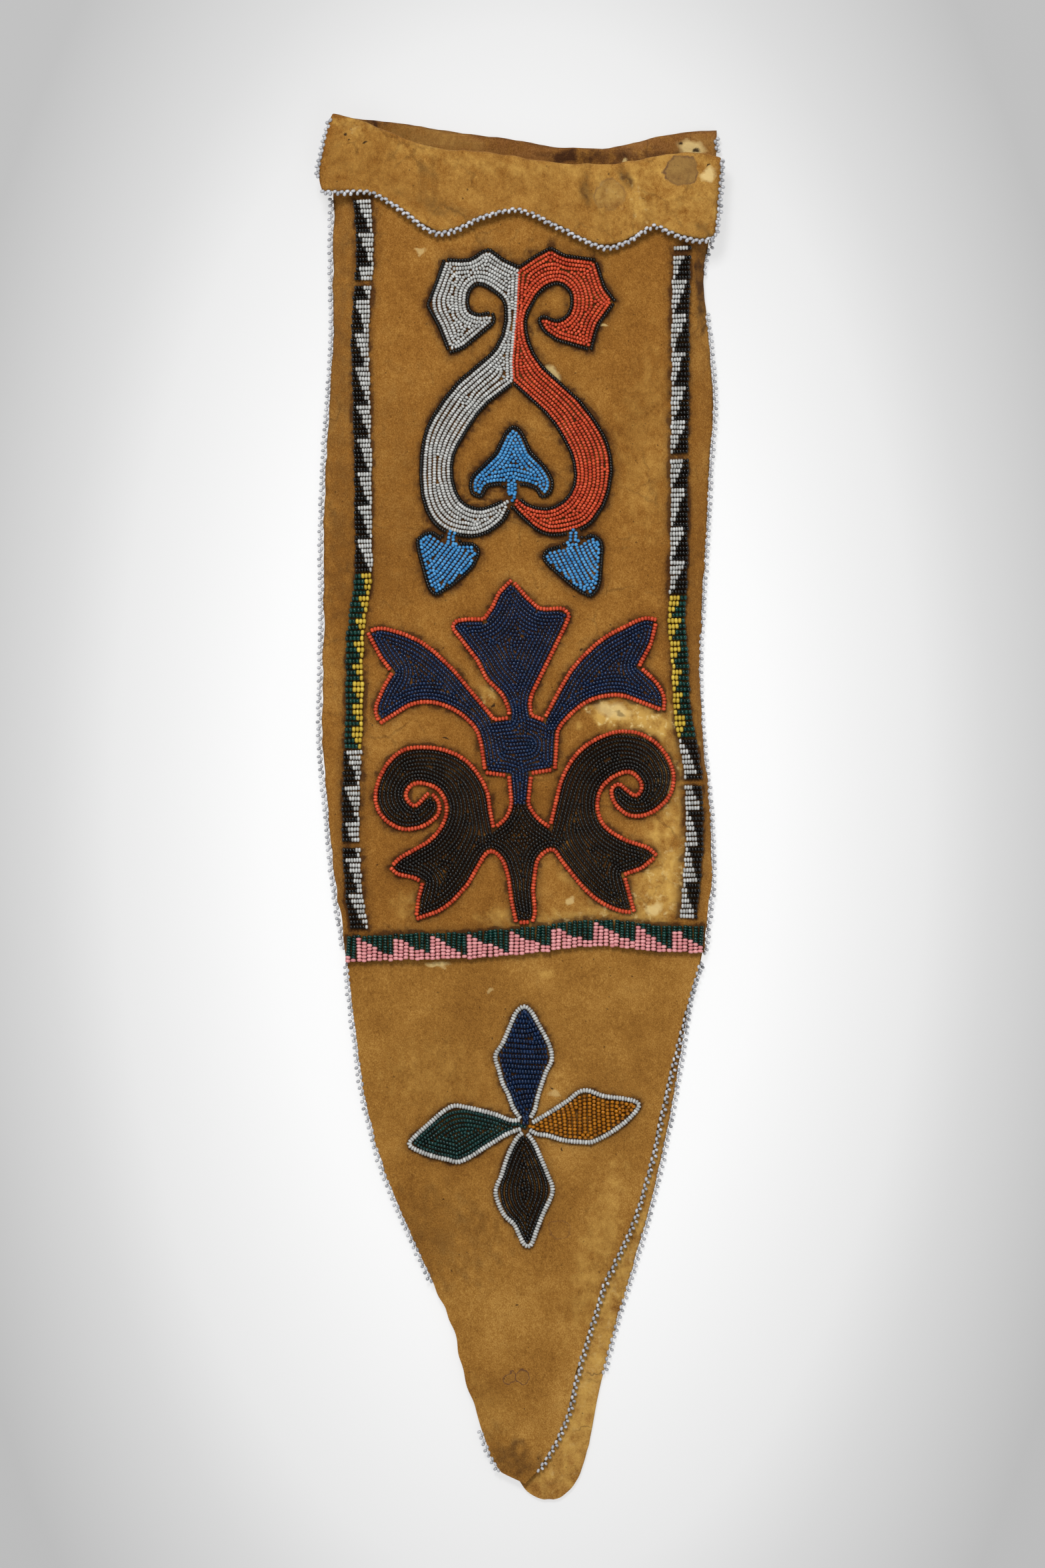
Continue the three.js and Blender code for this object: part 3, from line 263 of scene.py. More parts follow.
@dataclass(frozen=True)
class HideFinish:
    """Smoke-tanned hide with a raised nap.

    It gives the eye a matte, mottled brown of short golden fibres, paler where it is rubbed thin and where painted
    light lies on crease ridges, darker with soil and with painted shade round and under the beads, in crease
    furrows and inside the mouth, and greyer where something wet has dried.
    """

    name: str
    dark: str
    middle: str
    light: str
    # Tint of wear and of the painted light on crease ridges
    worn_and_lit: str = "#C99F50"
    # Tint of soil and of the painted shade round and under the beads and in crease furrows
    soil_and_shade: str = "#8C828A"
    stained: str = "#6C5435"
    # Tint of the painted shade inside the mouth
    inside: str = "#D9CEDC"
    scuffed: str = "#DDC284"
    rim: str = "#55372A"
    hole: str = "#2A1A0C"
    cracked: str = "#5A4C52"
    sheen: str = "#C79A5A"
    spots: tuple[Spot, ...] = ()
    wrinkles: float = 0.12
    fibre_mm: float = 0.42
    tuft_mm: float = 1.4
    wrinkle_mm: float = 6.0
    mottle_mm: float = 19.0
    cloud_mm: float = 62.0
    speck_mm: float = 1.7
    fleck_mm: float = 2.6
    crack_mm: float = 17.0
    cracks: float = 0.35

    @cache
    def material(self) -> bpy.types.Material:
        """Makes the hide from five sizes of mottling, the marks on the mesh and the spots.

        Returns:
            The material.
        """
        material, tree = new_tree(self.name)
        node = partial(add_node, tree)
        place = node("TexCoord", {}, "Object")
        lying = node("Mapping", {"Vector": place, "Rotation": (0, 0, 0.5), "Scale": (1.0, 0.7, 1.0)})
        sizes = (
            (self.fibre_mm, 0.36, lying, 2.0),
            (self.tuft_mm, 0.13, lying, 2.0),
            (self.wrinkle_mm, self.wrinkles, place, 5.0),
            (self.mottle_mm, 0.18, place, 3.0),
            (self.cloud_mm, 0.32 - self.wrinkles, place, 2.0),
        )
        total, layers = 0.0, []
        for size, weight, where, detail in sizes:
            grain = {"Vector": where, "Scale": 1 / (size * MM), "Detail": detail, "Roughness": 0.62}
            layers.append(node("TexNoise", grain))
            total = node("Math", {0: layers[-1], 1: weight, 2: total}, operation="MULTIPLY_ADD")
        fibre, tuft, wrinkle, mottle, _ = layers
        colour = node("ValToRGB", {"Fac": total}, stops=((0.39, self.dark), (0.50, self.middle), (0.61, self.light)))
        drift = node("TexNoise", {"Vector": place, "Scale": 1 / (self.tuft_mm * 3 * MM), "Detail": 3.0}, "Color")
        centred = node("VectorMath", {0: drift, 1: (0.5, 0.5, 0.5)}, operation="SUBTRACT")
        warp = node("VectorMath", {0: centred, "Scale": 5.0 * MM}, operation="SCALE")
        bent = node("VectorMath", {0: warp, 1: place}, operation="ADD")
        lumps = node("Math", {0: wrinkle, 1: 5.0, 2: -2.1}, operation="MULTIPLY_ADD")
        ragged = node("Math", {0: tuft, 1: 1.2, 2: lumps}, operation="MULTIPLY_ADD")
        # The mark inside the mouth is painted shade; the darkening mark is soil together with painted shade round
        # and under the beads and in crease furrows; the paling mark is wear together with painted light on crease
        # ridges
        marks = (
            (Mark.INNER, self.inside, 1.0, "MULTIPLY"),
            (Mark.WEAR, self.worn_and_lit, 0.9, "MIX"),
            (Mark.SOIL, self.soil_and_shade, 1.0, "MULTIPLY"),
        )
        for mark, tint, most, blend in marks:
            amount = node("Attribute", {}, "Fac", attribute_name=mark.value)
            broken = node("Math", {0: amount, 1: ragged}, operation="MULTIPLY")
            held = node("MapRange", {0: broken, 1: 0.0, 2: 1.0, 3: 0.0, 4: most})
            colour = node("Mix", {0: held, 6: colour, 7: linear(tint)}, 2, data_type="RGBA", blend_type=blend)
        # Strong wear, and the painted light on the main crease ridge, get pale flecks
        rubbed = node("Attribute", {}, "Fac", attribute_name=Mark.WEAR.value)
        thin = node("MapRange", {0: rubbed, 1: 0.32, 2: 0.75, 3: 0.0, 4: 1.0})
        flecks = {"Vector": place, "Scale": 1 / (self.fleck_mm * MM), "Detail": 3.0, "Roughness": 0.6}
        fleck = node("MapRange", {0: node("TexNoise", flecks), 1: 0.55, 2: 0.74, 3: 0.0, 4: 1.1})
        flecked = node("Math", {0: thin, 1: fleck}, operation="MULTIPLY", use_clamp=True)
        colour = node("Mix", {0: flecked, 6: colour, 7: linear(self.scuffed)}, 2, data_type="RGBA")
        specks = {"Vector": place, "Scale": 1 / (self.speck_mm * MM), "Detail": 1.0}
        speck = node("MapRange", {0: node("TexNoise", specks), 1: 0.74, 2: 0.81, 3: 0.0, 4: 0.7})
        cells = {"Vector": bent, "Scale": 1 / (self.crack_mm * MM)}
        side = node("TexVoronoi", cells, "Distance", feature="DISTANCE_TO_EDGE")
        line = node("MapRange", {0: side, 1: 0.0, 2: 0.045, 3: 1.0, 4: 0.0})
        shown = node("MapRange", {0: mottle, 1: 0.50, 2: 0.62, 3: 0.0, 4: self.cracks})
        crack = node("Math", {0: line, 1: shown}, operation="MULTIPLY")
        dark = node("Math", {0: speck, 1: crack}, operation="MAXIMUM")
        mixed = {0: dark, 6: colour, 7: linear(self.cracked)}
        colour = node("Mix", mixed, 2, data_type="RGBA", blend_type="MULTIPLY")
        for spot in self.spots:
            colour = self.spotted(tree, spot, bent, wrinkle, colour)
        surface = {"Base Color": colour, "Roughness": 0.95, "Specular IOR Level": 0.2}
        surface |= {"Sheen Weight": 0.06, "Sheen Roughness": 0.6, "Sheen Tint": linear(self.sheen)}
        under = {}
        for height, strength, reach in ((wrinkle, 0.5, 1.0), (tuft, 0.45, 0.35), (fibre, 0.5, 0.25)):
            bump = {"Height": height, "Strength": strength, "Distance": reach * MM, **under}
            under = {"Normal": node("Bump", bump)}
        node("OutputMaterial", {"Surface": node("BsdfPrincipled", surface | under)})
        return material

    def spotted(
        self,
        tree: bpy.types.NodeTree,
        spot: Spot,
        place: bpy.types.NodeSocket,
        uneven: bpy.types.NodeSocket,
        colour: bpy.types.NodeSocket,
    ) -> bpy.types.NodeSocket:
        """Lays one small mark over a colour.

        Args:
            tree: the tree that gets the nodes.
            spot: the mark.
            place: the place that is looked at.
            uneven: noise that breaks a stain's dried rim.
            colour: the colour under the mark.

        Returns:
            Socket with the marked colour.
        """
        node = partial(add_node, tree)
        away = spot.away(tree, place)
        coats = {
            Blemish.SLIT: (self.hole, 0.5, 1.3, 0.95),
            Blemish.SCUFF: (self.scuffed, 0.55, 1.1, 0.75),
            Blemish.STAIN: (self.stained, 0.94, 1.02, 0.66),
            Blemish.RING: (self.stained, 0.94, 1.02, 0.12),
        }
        tint, near, far, most = coats[spot.kind]
        cover = node("MapRange", {0: away, 1: near, 2: far, 3: most * spot.strength, 4: 0.0})
        colour = node("Mix", {0: cover, 6: colour, 7: linear(tint)}, 2, data_type="RGBA")
        if spot.kind in (Blemish.STAIN, Blemish.RING):
            low, high = (0.42, 0.58) if spot.kind is Blemish.STAIN else (0.1, 0.3)
            past = node("Math", {0: away, 1: 0.96}, operation="SUBTRACT")
            apart = node("Math", {0: past}, operation="ABSOLUTE")
            most = node("MapRange", {0: uneven, 1: low, 2: high, 3: 0.0, 4: 0.85 * spot.strength})
            band = node("MapRange", {0: apart, 1: 0.03, 2: 0.12, 3: most, 4: 0.0})
            colour = node("Mix", {0: band, 6: colour, 7: linear(self.rim)}, 2, data_type="RGBA")
        return colour


def marks_from(make: type, kinds: dict[Enum, tuple[tuple[float, ...], ...]]) -> tuple:
    """Makes one mark of each row of numbers, kind after kind."""
    return tuple(make(kind, *row) for kind, rows in kinds.items() for row in rows)


WHITE = GlassFinish("white_bead_glass", "white_beads", "#CECFCC", "#A0A09C", "#33200F", 0.45, 0.2)
EDGE_WHITE = GlassFinish("edge_bead_glass", "white_beads", "#CCCDD1", "#9A9B9F", "#33200F", 0.45, 0.2)
BLACK = GlassFinish("black_bead_glass", "black_beads", "#141210", "#080706", "#050403", 0.7, 0.08)
RED = GlassFinish("red_bead_glass", "red_beads", "#DC5836", "#A93620", "#380E06", 0.45)
BLUE = GlassFinish("sky_blue_bead_glass", "blue_beads", "#579FD4", "#3077AF", "#0D2A44", 0.4)
NAVY = GlassFinish("navy_bead_glass", "navy_beads", "#132B50", "#09182F", "#050912", 0.7, 0.08)
YELLOW = GlassFinish("yellow_bead_glass", "yellow_beads", "#D9BC4A", "#B2932F", "#3A2A0A", 0.4)
GREEN = GlassFinish("green_bead_glass", "green_beads", "#0F3F37", "#06201B", "#040C0A", 0.6, 0.08)
PINK = GlassFinish("pink_bead_glass", "pink_beads", "#EBA6A6", "#CC8082", "#4A1E18", 0.4)
OCHRE = GlassFinish("ochre_bead_glass", "ochre_beads", "#B87213", "#8A510C", "#381C04", 0.45)
TEAL = GlassFinish("teal_bead_glass", "teal_beads", "#153C39", "#081D1C", "#030D0C", 0.6, 0.08)

PANEL_SPOTS = marks_from(Spot, {
    Blemish.STAIN: ((66.8, 261.9, 7.4, 6.4, 0, 0.85, 9.6), (37.2, 251.8, 6.6, 6.4, 30, 0.4, 9.6)),
    Blemish.SCUFF: (
        (78.0, 260.3, 3.8, 2.6, 45, 1.0, 9.6), (14.5, 179.5, 5.0, 1.8, 135, 0.8), (35, 199, 1.8, 1.1, 0, 0.7),
        (-41, 229, 2.8, 1.2, 0, 0.6), (39, 40.5, 8.0, 3.6, -12, 0.8), (56, -41, 3.6, 2.6, 30, 0.9),
        (21, -38, 2.4, 1.6, 60, 0.7),
    ),
    Blemish.SLIT: (
        (-54, 56, 1.8, 0.6, 60, 0.8), (-30, 28.7, 1.4, 0.55, -20), (-11, 43, 1.4, 0.45, 40),
        (26, 65, 1.3, 0.45, 50), (42, 39, 2.6, 0.7, -15, 0.55), (-72, 276.6, 0.8, 0.6), (-70, 275, 0.7, 0.5),
        (-63.5, 273.5, 0.8, 0.5, 20), (77.8, 263.7, 1.0, 0.6, 10),
    ),
})
TAIL_SPOTS = marks_from(Spot, {
    Blemish.RING: (
        (-3.6, -234.4, 3.2, 2.6, 20, 0.9), (1.6, -234.2, 2.6, 3.4, 0, 0.9), (16.6, -173.5, 4.6, 4.4, 0, 0.35),
    ),
    Blemish.SCUFF: ((-34, -64, 5.6, 1.5, -5, 0.9), (14.6, -117.5, 2.6, 2.0, 0, 0.5), (-12, -75, 1.6, 1.2, 0, 0.5)),
    Blemish.SLIT: ((14, -115, 0.9, 0.45, -35), (18, -140, 0.7, 0.45, -50), (-1, -204.5, 0.6, 0.45)),
})
BACK_SPOTS = marks_from(Spot, {
    Blemish.SCUFF: ((71, 272.4, 6.6, 3.6, -10), (43.7, 267.2, 1.3, 0.9, 0, 0.9)),
    Blemish.SLIT: (
        (31.5, -233, 4.0, 0.3, 5, 0.5), (27, -255, 4.5, 0.3, 14, 0.4), (66.3, 274.6, 1.2, 0.8, 20),
        (72.9, 271.4, 1.5, 0.8, -10),
    ),
})

PANEL_HIDE = HideFinish("panel_hide_nap", "#6E4311", "#8E5E22", "#AF803C", spots=PANEL_SPOTS)
TAIL_HIDE = HideFinish(
    "tail_hide_nap", "#744A17", "#956729", "#B58843", spots=TAIL_SPOTS, wrinkles=0.08, cracks=0.1
)
BACK_HIDE = HideFinish("back_hide_nap", "#744B19", "#95672C", "#B28545", spots=BACK_SPOTS)


def triangles_of(node: str) -> np.ndarray:
    """Reads a CAD node's triangles.

    Args:
        node: the node's name.

    Returns:
        Array of triangles by corners by coordinates, in millimetres.
    """
    mesh = frame["nodes"][node].data
    mesh.calc_loop_triangles()
    corners = np.empty(3 * len(mesh.loop_triangles), np.int32)
    mesh.loop_triangles.foreach_get("vertices", corners)
    return spots_of(mesh)[corners].reshape(-1, 3, 3)


def spots_of(mesh: bpy.types.Mesh) -> np.ndarray:
    """Reads a mesh's vertices as rows of millimetres.

    Args:
        mesh: the mesh.

    Returns:
        Rows of coordinates.
    """
    spots = np.empty(3 * len(mesh.vertices))
    mesh.vertices.foreach_get("co", spots)
    return spots.reshape(-1, 3) / MM


def set_spots(mesh: bpy.types.Mesh, spots: np.ndarray) -> None:
    """Moves a mesh's vertices to rows of millimetres."""
    mesh.vertices.foreach_set("co", (spots * MM).ravel())
    mesh.update()


def add_values(mesh: bpy.types.Mesh, name: str, values: np.ndarray) -> None:
    """Keeps one number for each vertex under a name that materials can read."""
    mesh.attributes.new(name, "FLOAT", "POINT").data.foreach_set("value", values.astype(np.float32))


def add_object(name: str, data: bpy.types.ID) -> bpy.types.Object:
    """Adds an object with that data to the scene.

    Args:
        name: its name.
        data: its mesh, lamp or camera.

    Returns:
        The object.
    """
    made = bpy.data.objects.new(name, data)
    bpy.context.scene.collection.objects.link(made)
    return made


def seed_of(node: str) -> int:
    """Start of the random draws for one node."""
    return SEED + sum(map(ord, node))


def heading(turn: float) -> tuple[float, float]:
    """Direction that lies so many degrees from straight across the bag."""
    return math.cos(math.radians(turn)), math.sin(math.radians(turn))


def unit(rows: np.ndarray) -> np.ndarray:
    """Scales every row to a length of 1."""
    return rows / np.linalg.norm(rows, axis=1)[:, None]


def near_tree(places: list[tuple[float, float, float]]) -> KDTree:
    """Sorts places so that near ones are found fast.

    Args:
        places: coordinates of each.

    Returns:
        The sorted tree.
    """
    tree = KDTree(len(places))
    for i, place in enumerate(places):
        tree.insert(place, i)
    tree.balance()
    return tree


def smooth_step(value: np.ndarray, low: float, high: float) -> np.ndarray:
    """Rises smoothly from 0 at low to 1 at high, or falls where low is the greater."""
    share = np.clip((value - low) / (high - low), 0, 1)
    return share * share * (3 - 2 * share)


def spline(points: np.ndarray, spacing: float = 0.25) -> np.ndarray:
    """Draws a smooth line through points.

    Args:
        points: rows of coordinates in order.
        spacing: distance between the points of the result.

    Returns:
        Rows of coordinates at even spacing.
    """
    padded = np.vstack([2 * points[0] - points[1], points, 2 * points[-1] - points[-2]])
    stretches = []
    share = np.linspace(0, 1, 24, endpoint=False)[:, None]
    for a, b, c, d in zip(padded, padded[1:], padded[2:], padded[3:]):
        bend = 2 * b + (c - a) * share + (2 * a - 5 * b + 4 * c - d) * share**2
        stretches.append((bend + (3 * b - a - 3 * c + d) * share**3) / 2)
    return resample(np.vstack([*stretches, points[-1:]]), spacing)


def resample(line: np.ndarray, spacing: float) -> np.ndarray:
    """Walks a line at even spacing.

    Args:
        line: rows of coordinates.
        spacing: about how far apart the new points are.

    Returns:
        Rows of coordinates, the two ends among them.
    """
    reach = np.concatenate([[0], np.cumsum(np.linalg.norm(np.diff(line, axis=0), axis=1))])
    stations = np.linspace(0, reach[-1], max(2, round(reach[-1] / spacing) + 1))
    return np.column_stack([np.interp(stations, reach, line[:, k]) for k in range(line.shape[1])])


@dataclass
class Ripple:
    """Smooth random relief made of plane waves.

    Attributes:
        seed: start of its random draws.
        wavelength: usual distance between crests.
        lean: direction that the waves mostly run in, in radians, or None for every direction.
        count: how many waves it is made of.
    """

    seed: int
    wavelength: float
    lean: float | None = None
    count: int = 18
    waves: np.ndarray = field(init=False)

    def __post_init__(self) -> None:
        """Draws the waves."""
        draw = np.random.default_rng(self.seed)
        turn = draw.uniform(0, math.tau, self.count)
        if self.lean is not None:
            turn = self.lean + draw.normal(0, 0.35, self.count)
        beat = math.tau / (self.wavelength * draw.uniform(0.7, 1.5, self.count))
        phase = draw.uniform(0, math.tau, self.count)
        self.waves = np.column_stack([np.cos(turn) * beat, np.sin(turn) * beat, phase])

    def at(self, x: np.ndarray, y: np.ndarray) -> np.ndarray:
        """Height at places, with crests of about 1.

        Args:
            x: places across the bag.
            y: places along the bag.

        Returns:
            Height at each place.
        """
        total = np.zeros_like(x)
        for along, across, phase in self.waves:
            total += np.cos(along * x + across * y + phase)
        return total / math.sqrt(self.count / 2)


@dataclass(frozen=True)
class Crease:
    """Ridge or furrow in a hide, from one place to another."""

    start: tuple[float, float]
    end: tuple[float, float]
    height: float
    width: float

    def at(self, x: np.ndarray, y: np.ndarray) -> np.ndarray:
        """Height that it adds at places.

        Args:
            x: places across the bag.
            y: places along the bag.

        Returns:
            Height at each place.
        """
        ahead = np.subtract(self.end, self.start)
        along = ((x - self.start[0]) * ahead[0] + (y - self.start[1]) * ahead[1]) / (ahead @ ahead)
        share = np.clip(along, 0, 1)
        away = np.hypot(x - self.start[0] - share * ahead[0], y - self.start[1] - share * ahead[1])
        return self.height * np.exp(-((away / self.width) ** 2))


@dataclass(frozen=True)
class Patch:
    """Place on a hide with wear, soil or a stain, or with painted shade in a crease's furrow or painted light on its
    ridge.
    """

    mark: Mark
    x: float
    y: float
    half_width: float
    half_height: float
    strength: float = 1.0
    turn: float = 0.0

    def at(self, x: np.ndarray, y: np.ndarray, fray: np.ndarray) -> np.ndarray:
        """How strongly it marks places.

        Args:
            x: places across the bag.
            y: places along the bag.
            fray: relief that makes its edge uneven.

        Returns:
            Numbers from 0 to its strength.
        """
        c, s = heading(self.turn)
        right, up = (x - self.x) * c + (y - self.y) * s, (y - self.y) * c - (x - self.x) * s
        away = np.hypot(right / self.half_width, up / self.half_height) + 0.22 * fray
        return self.strength * smooth_step(away, 1.25, 0.65)


def dress(piece: bpy.types.Object, material: bpy.types.Material, slot: str, *nodes: str) -> bpy.types.Object:
    """Gives a piece its finish and sets it in the frame.

    Args:
        piece: the new piece.
        material: its finish.
        slot: the record's slot for that finish; not used.
        *nodes: the CAD nodes that it stands for.

    Returns:
        The piece.
    """
    piece.data.materials.clear()
    piece.data.materials.append(material)
    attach(piece, BODY)
    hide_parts(*nodes)
    LOG.info("%s: %d faces", piece.name, len(piece.data.polygons))
    return piece


@dataclass
class SeedBead:
    """One seed bead, modelled once and copied: a short tube with rounded shoulders and its hole along X.

    Attributes:
        sides: flats round it.
        shoulder: how far the rounding reaches, as a share of its width.
    """

    sides: int = 8
    shoulder: float = 0.25
    spots: np.ndarray = field(init=False)
    faces: list[list[int]] = field(init=False)

    def __post_init__(self) -> None:
        """Turns a cylinder of unit size into the bead and keeps its shape."""
        bpy.ops.object.select_all(action="DESELECT")
        bpy.ops.mesh.primitive_cylinder_add(
            vertices=self.sides, radius=0.5, depth=1.0, rotation=(0, math.pi / 2, 0), end_fill_type="NGON"
        )
        tube = bpy.context.active_object
        bpy.ops.object.transform_apply(rotation=True)
        bpy.ops.object.mode_set(mode="EDIT")
        bpy.ops.mesh.select_mode(type="EDGE")
        bpy.ops.mesh.select_all(action="DESELECT")
        bpy.ops.mesh.edges_select_sharp(sharpness=math.radians(60))
        bpy.ops.mesh.bevel(offset=self.shoulder, segments=1, affect="EDGES")
        bpy.ops.object.mode_set(mode="OBJECT")
        self.spots = np.array([v.co for v in tube.data.vertices])
        self.faces = [list(p.vertices) for p in tube.data.polygons]
        bpy.data.objects.remove(tube)


@dataclass
class Strand:
    """Beads of one piece: where each lies, which way its hole points and how large it is."""

    centres: list[tuple[float, float, float]] = field(default_factory=list)
    ways: list[tuple[float, float, float]] = field(default_factory=list)
    sizes: list[tuple[float, float]] = field(default_factory=list)

    def add(self, centre: tuple, way: tuple, along: float, across: float) -> None:
        """Threads one more bead.

        Args:
            centre: its middle.
            way: direction of its hole.
            along: its length.
            across: its width.
        """
        self.centres.append(centre)
        self.ways.append(way)
        self.sizes.append((along, across))

    def piece(self, name: str, bead: SeedBead, seed: int) -> bpy.types.Object:
        """Copies the bead to every place on the strand.

        Args:
            name: the new piece's name.
            bead: the bead to copy.
            seed: start of the draws that set each bead a little differently.

        Returns:
            One object that holds all the beads.
        """
        draw = np.random.default_rng(seed)
        count, corners = len(self.centres), len(bead.spots)
        sizes = np.array(self.sizes) * draw.normal(1, SIZE_SPREAD, (count, 2))
        ahead = unit(np.array(self.ways) + draw.normal(0, WAY_SPREAD, (count, 3)))
        side = unit(np.cross([0, 0, 1.0], ahead) + [0, 0, 1e-6])
        lift = np.cross(ahead, side)
        local = bead.spots[None] * np.stack([sizes[:, 0], sizes[:, 1], sizes[:, 1]], axis=1)[:, None]
        axes = np.stack([ahead, side, lift], axis=1)
        spots = np.array(self.centres)[:, None] + np.einsum("nkc,ncd->nkd", local, axes)

        totals = np.tile([len(f) for f in bead.faces], count)
        ring = np.concatenate(bead.faces)
        loops = (ring[None] + corners * np.arange(count)[:, None]).ravel()
        mesh = bpy.data.meshes.new(name)
        mesh.vertices.add(count * corners)
        set_spots(mesh, spots.reshape(-1, 3))
        mesh.loops.add(len(loops))
        mesh.polygons.add(len(totals))
        mesh.loops.foreach_set("vertex_index", loops.astype(np.int32))
        mesh.polygons.foreach_set("loop_start", np.concatenate([[0], np.cumsum(totals)[:-1]]).astype(np.int32))
        mesh.polygons.foreach_set("use_smooth", totals == 4)
        mesh.update(calc_edges=True)
        mesh.validate()
        ends = np.abs(bead.spots[:, 0]) > 0.45
        add_values(mesh, "end", np.tile(ends, count))
        add_values(mesh, "tone", np.repeat(np.clip(draw.normal(TONE, TONE_SPREAD, count), 0, 1), corners))
        return add_object(name, mesh)


@dataclass(frozen=True)
class BeadKind:
    """Sort of bead: its glass, the room that it takes along a row and the room between rows."""

    glass: GlassFinish
    pitch: float
    row: float
    plump: float = 0.84

    @property
    def along(self) -> float:
        """Length of the bead along its hole."""
        return 1.05 * self.pitch

    @property
    def across(self) -> float:
        """Width of the bead across its hole."""
        return self.plump * self.row


@dataclass
class Ground:
    """Ground that a field or row of beads covers, read from its CAD plate.

    Attributes:
        node: the plate's name.
        step: spacing of the grid that depths are measured on.
        ringed: measure from the plate's outer rim alone, as if it had no holes.
        outline: closed line to measure from instead of the plate's rim.
    """

    node: str
    step: float = 0.3
    ringed: bool = False
    outline: np.ndarray | None = None
    loops: list[np.ndarray] = field(init=False)
    level: np.ndarray = field(init=False)
    origin: np.ndarray = field(init=False)
    depth: np.ndarray = field(init=False)
    slope: np.ndarray = field(init=False)

    def __post_init__(self) -> None:
        """Reads the outline and the height, and measures depths inside the outline."""
        triangles = triangles_of(self.node)
        normals = np.cross(triangles[:, 1] - triangles[:, 0], triangles[:, 2] - triangles[:, 0])
        facing = normals[:, 2] / np.linalg.norm(normals, axis=1)
        self.loops = self.trace(triangles[facing > 0.9])
        under = triangles[facing < -0.9].reshape(-1, 3)
        places = np.column_stack([np.ones(len(under)), under[:, 1]])
        self.level = np.linalg.lstsq(places, under[:, 2], rcond=None)[0]
        if self.ringed:
            self.loops = [max(self.loops, key=lambda loop: np.ptp(loop[:, 0]))]
        if self.outline is not None:
            self.loops = [self.outline]
        self.depth = self.measure()
        self.slope = np.stack(np.gradient(self.depth, self.step)[::-1])

    @staticmethod
    def trace(triangles: np.ndarray) -> list[np.ndarray]:
        """Chains the sides that only one triangle has into closed outlines.

        Args:
            triangles: the plate's upper face.

        Returns:
            Closed outlines as rows of corners.
        """
        sides: set[tuple] = set()
        for corners in np.round(triangles[:, :, :2], 3):
            keys = [tuple(c) for c in corners]
            for a, b in zip(keys, keys[1:] + keys[:1]):
                if (b, a) in sides:
                    sides.remove((b, a))
                else:
                    sides.add((a, b))
        following = dict(sides)
        loops = []
        while following:
            start, spot = next(iter(following.items()))
            del following[start]
            loop = [start]
            while spot != start:
                loop.append(spot)
                spot = following.pop(spot)
            loops.append(np.array(loop))
        return loops

    def measure(self) -> np.ndarray:
        """Measures how deep inside the outlines each point of a grid lies.

        Returns:
            Rows of depths, negative outside the outlines.
        """
        rim = np.vstack(self.loops)
        self.origin = rim.min(axis=0) - 3
        wide, high = np.ceil((rim.max(axis=0) + 3 - self.origin) / self.step).astype(int)
        x = self.origin[0] + self.step * np.arange(wide + 1)[None, :]
        y = self.origin[1] + self.step * np.arange(high + 1)[:, None]
        nearest = np.full((high + 1, wide + 1), np.inf)
        inside = np.zeros_like(nearest, bool)
        for loop in self.loops:
            for (x0, y0), (x1, y1) in zip(loop, np.roll(loop, -1, axis=0)):
                dx, dy = x1 - x0, y1 - y0
                share = np.clip(((x - x0) * dx + (y - y0) * dy) / (dx * dx + dy * dy), 0, 1)
                np.minimum(nearest, (x - x0 - share * dx) ** 2 + (y - y0 - share * dy) ** 2, out=nearest)
                if dy:
                    inside ^= ((y0 > y) != (y1 > y)) & (x < x0 + (y - y0) * dx / dy)
        return np.where(inside, 1, -1) * np.sqrt(nearest)

    def read(self, grid: np.ndarray, spots: np.ndarray) -> np.ndarray:
        """Reads a grid between its points.

        Args:
            grid: rows of values, one for each point of the grid.
            spots: rows of places.

        Returns:
            The value at each place.
        """
        high, wide = grid.shape
        column, row = np.clip((spots - self.origin) / self.step, 0, [wide - 1.001, high - 1.001]).T
        c, r = column.astype(int), row.astype(int)
        u, v = column - c, row - r
        foot = grid[r, c] * (1 - u) + grid[r, c + 1] * u
        return foot * (1 - v) + (grid[r + 1, c] * (1 - u) + grid[r + 1, c + 1] * u) * v

    def depths(self, spots: np.ndarray) -> np.ndarray:
        """How deep inside the outline places lie, negative outside it."""
        return self.read(self.depth, spots)

    def inward(self, spots: np.ndarray) -> np.ndarray:
        """Direction from places to the inside of the outline."""
        return np.column_stack([self.read(part, spots) for part in self.slope])

    def tips(self, sharpest: float = 125.0) -> list[np.ndarray]:
        """Finds where the outline comes to a point, with an angle of at most so many degrees.

        Args:
            sharpest: that angle.

        Returns:
            Places of the points.
        """
        found = []
        for loop in self.loops:
            for before, tip, after in zip(np.roll(loop, 1, axis=0), loop, np.roll(loop, -1, axis=0)):
                back, ahead = (side / np.linalg.norm(side) for side in (before - tip, after - tip))
                if math.degrees(math.acos(np.clip(back @ ahead, -1, 1))) < sharpest:
                    found.append(tip)
        return found

    def runs(self, depth: float, reach: float = 3.0) -> list[np.ndarray]:
        """Finds the lines that run at one depth inside the outline, parted at its points.

        Args:
            depth: distance from the outline.
            reach: how far from a point of the outline a line is still parted.

        Returns:
            Lines as rows of places.
        """
        found = []
        for line in self.line_at(depth):
            away = [np.linalg.norm(line[:-1] - tip, axis=1) for tip in self.tips()]
            cuts = sorted({int(np.argmin(far)) for far in away if far.min() < reach})
            if not cuts:
                found.append(line)
                continue
            turned = np.roll(line[:-1], -cuts[0], axis=0)
            turned = np.vstack([turned, turned[:1]])
            ends = [cut - cuts[0] for cut in cuts] + [len(turned) - 1]
            found += [turned[a:b + 1] for a, b in zip(ends, ends[1:]) if b - a > 1]
        return found

    def height(self, y: float) -> float:
        """Height of the hide under the beads at one place along the bag."""
        return self.level[0] + self.level[1] * y - STITCH_GAP

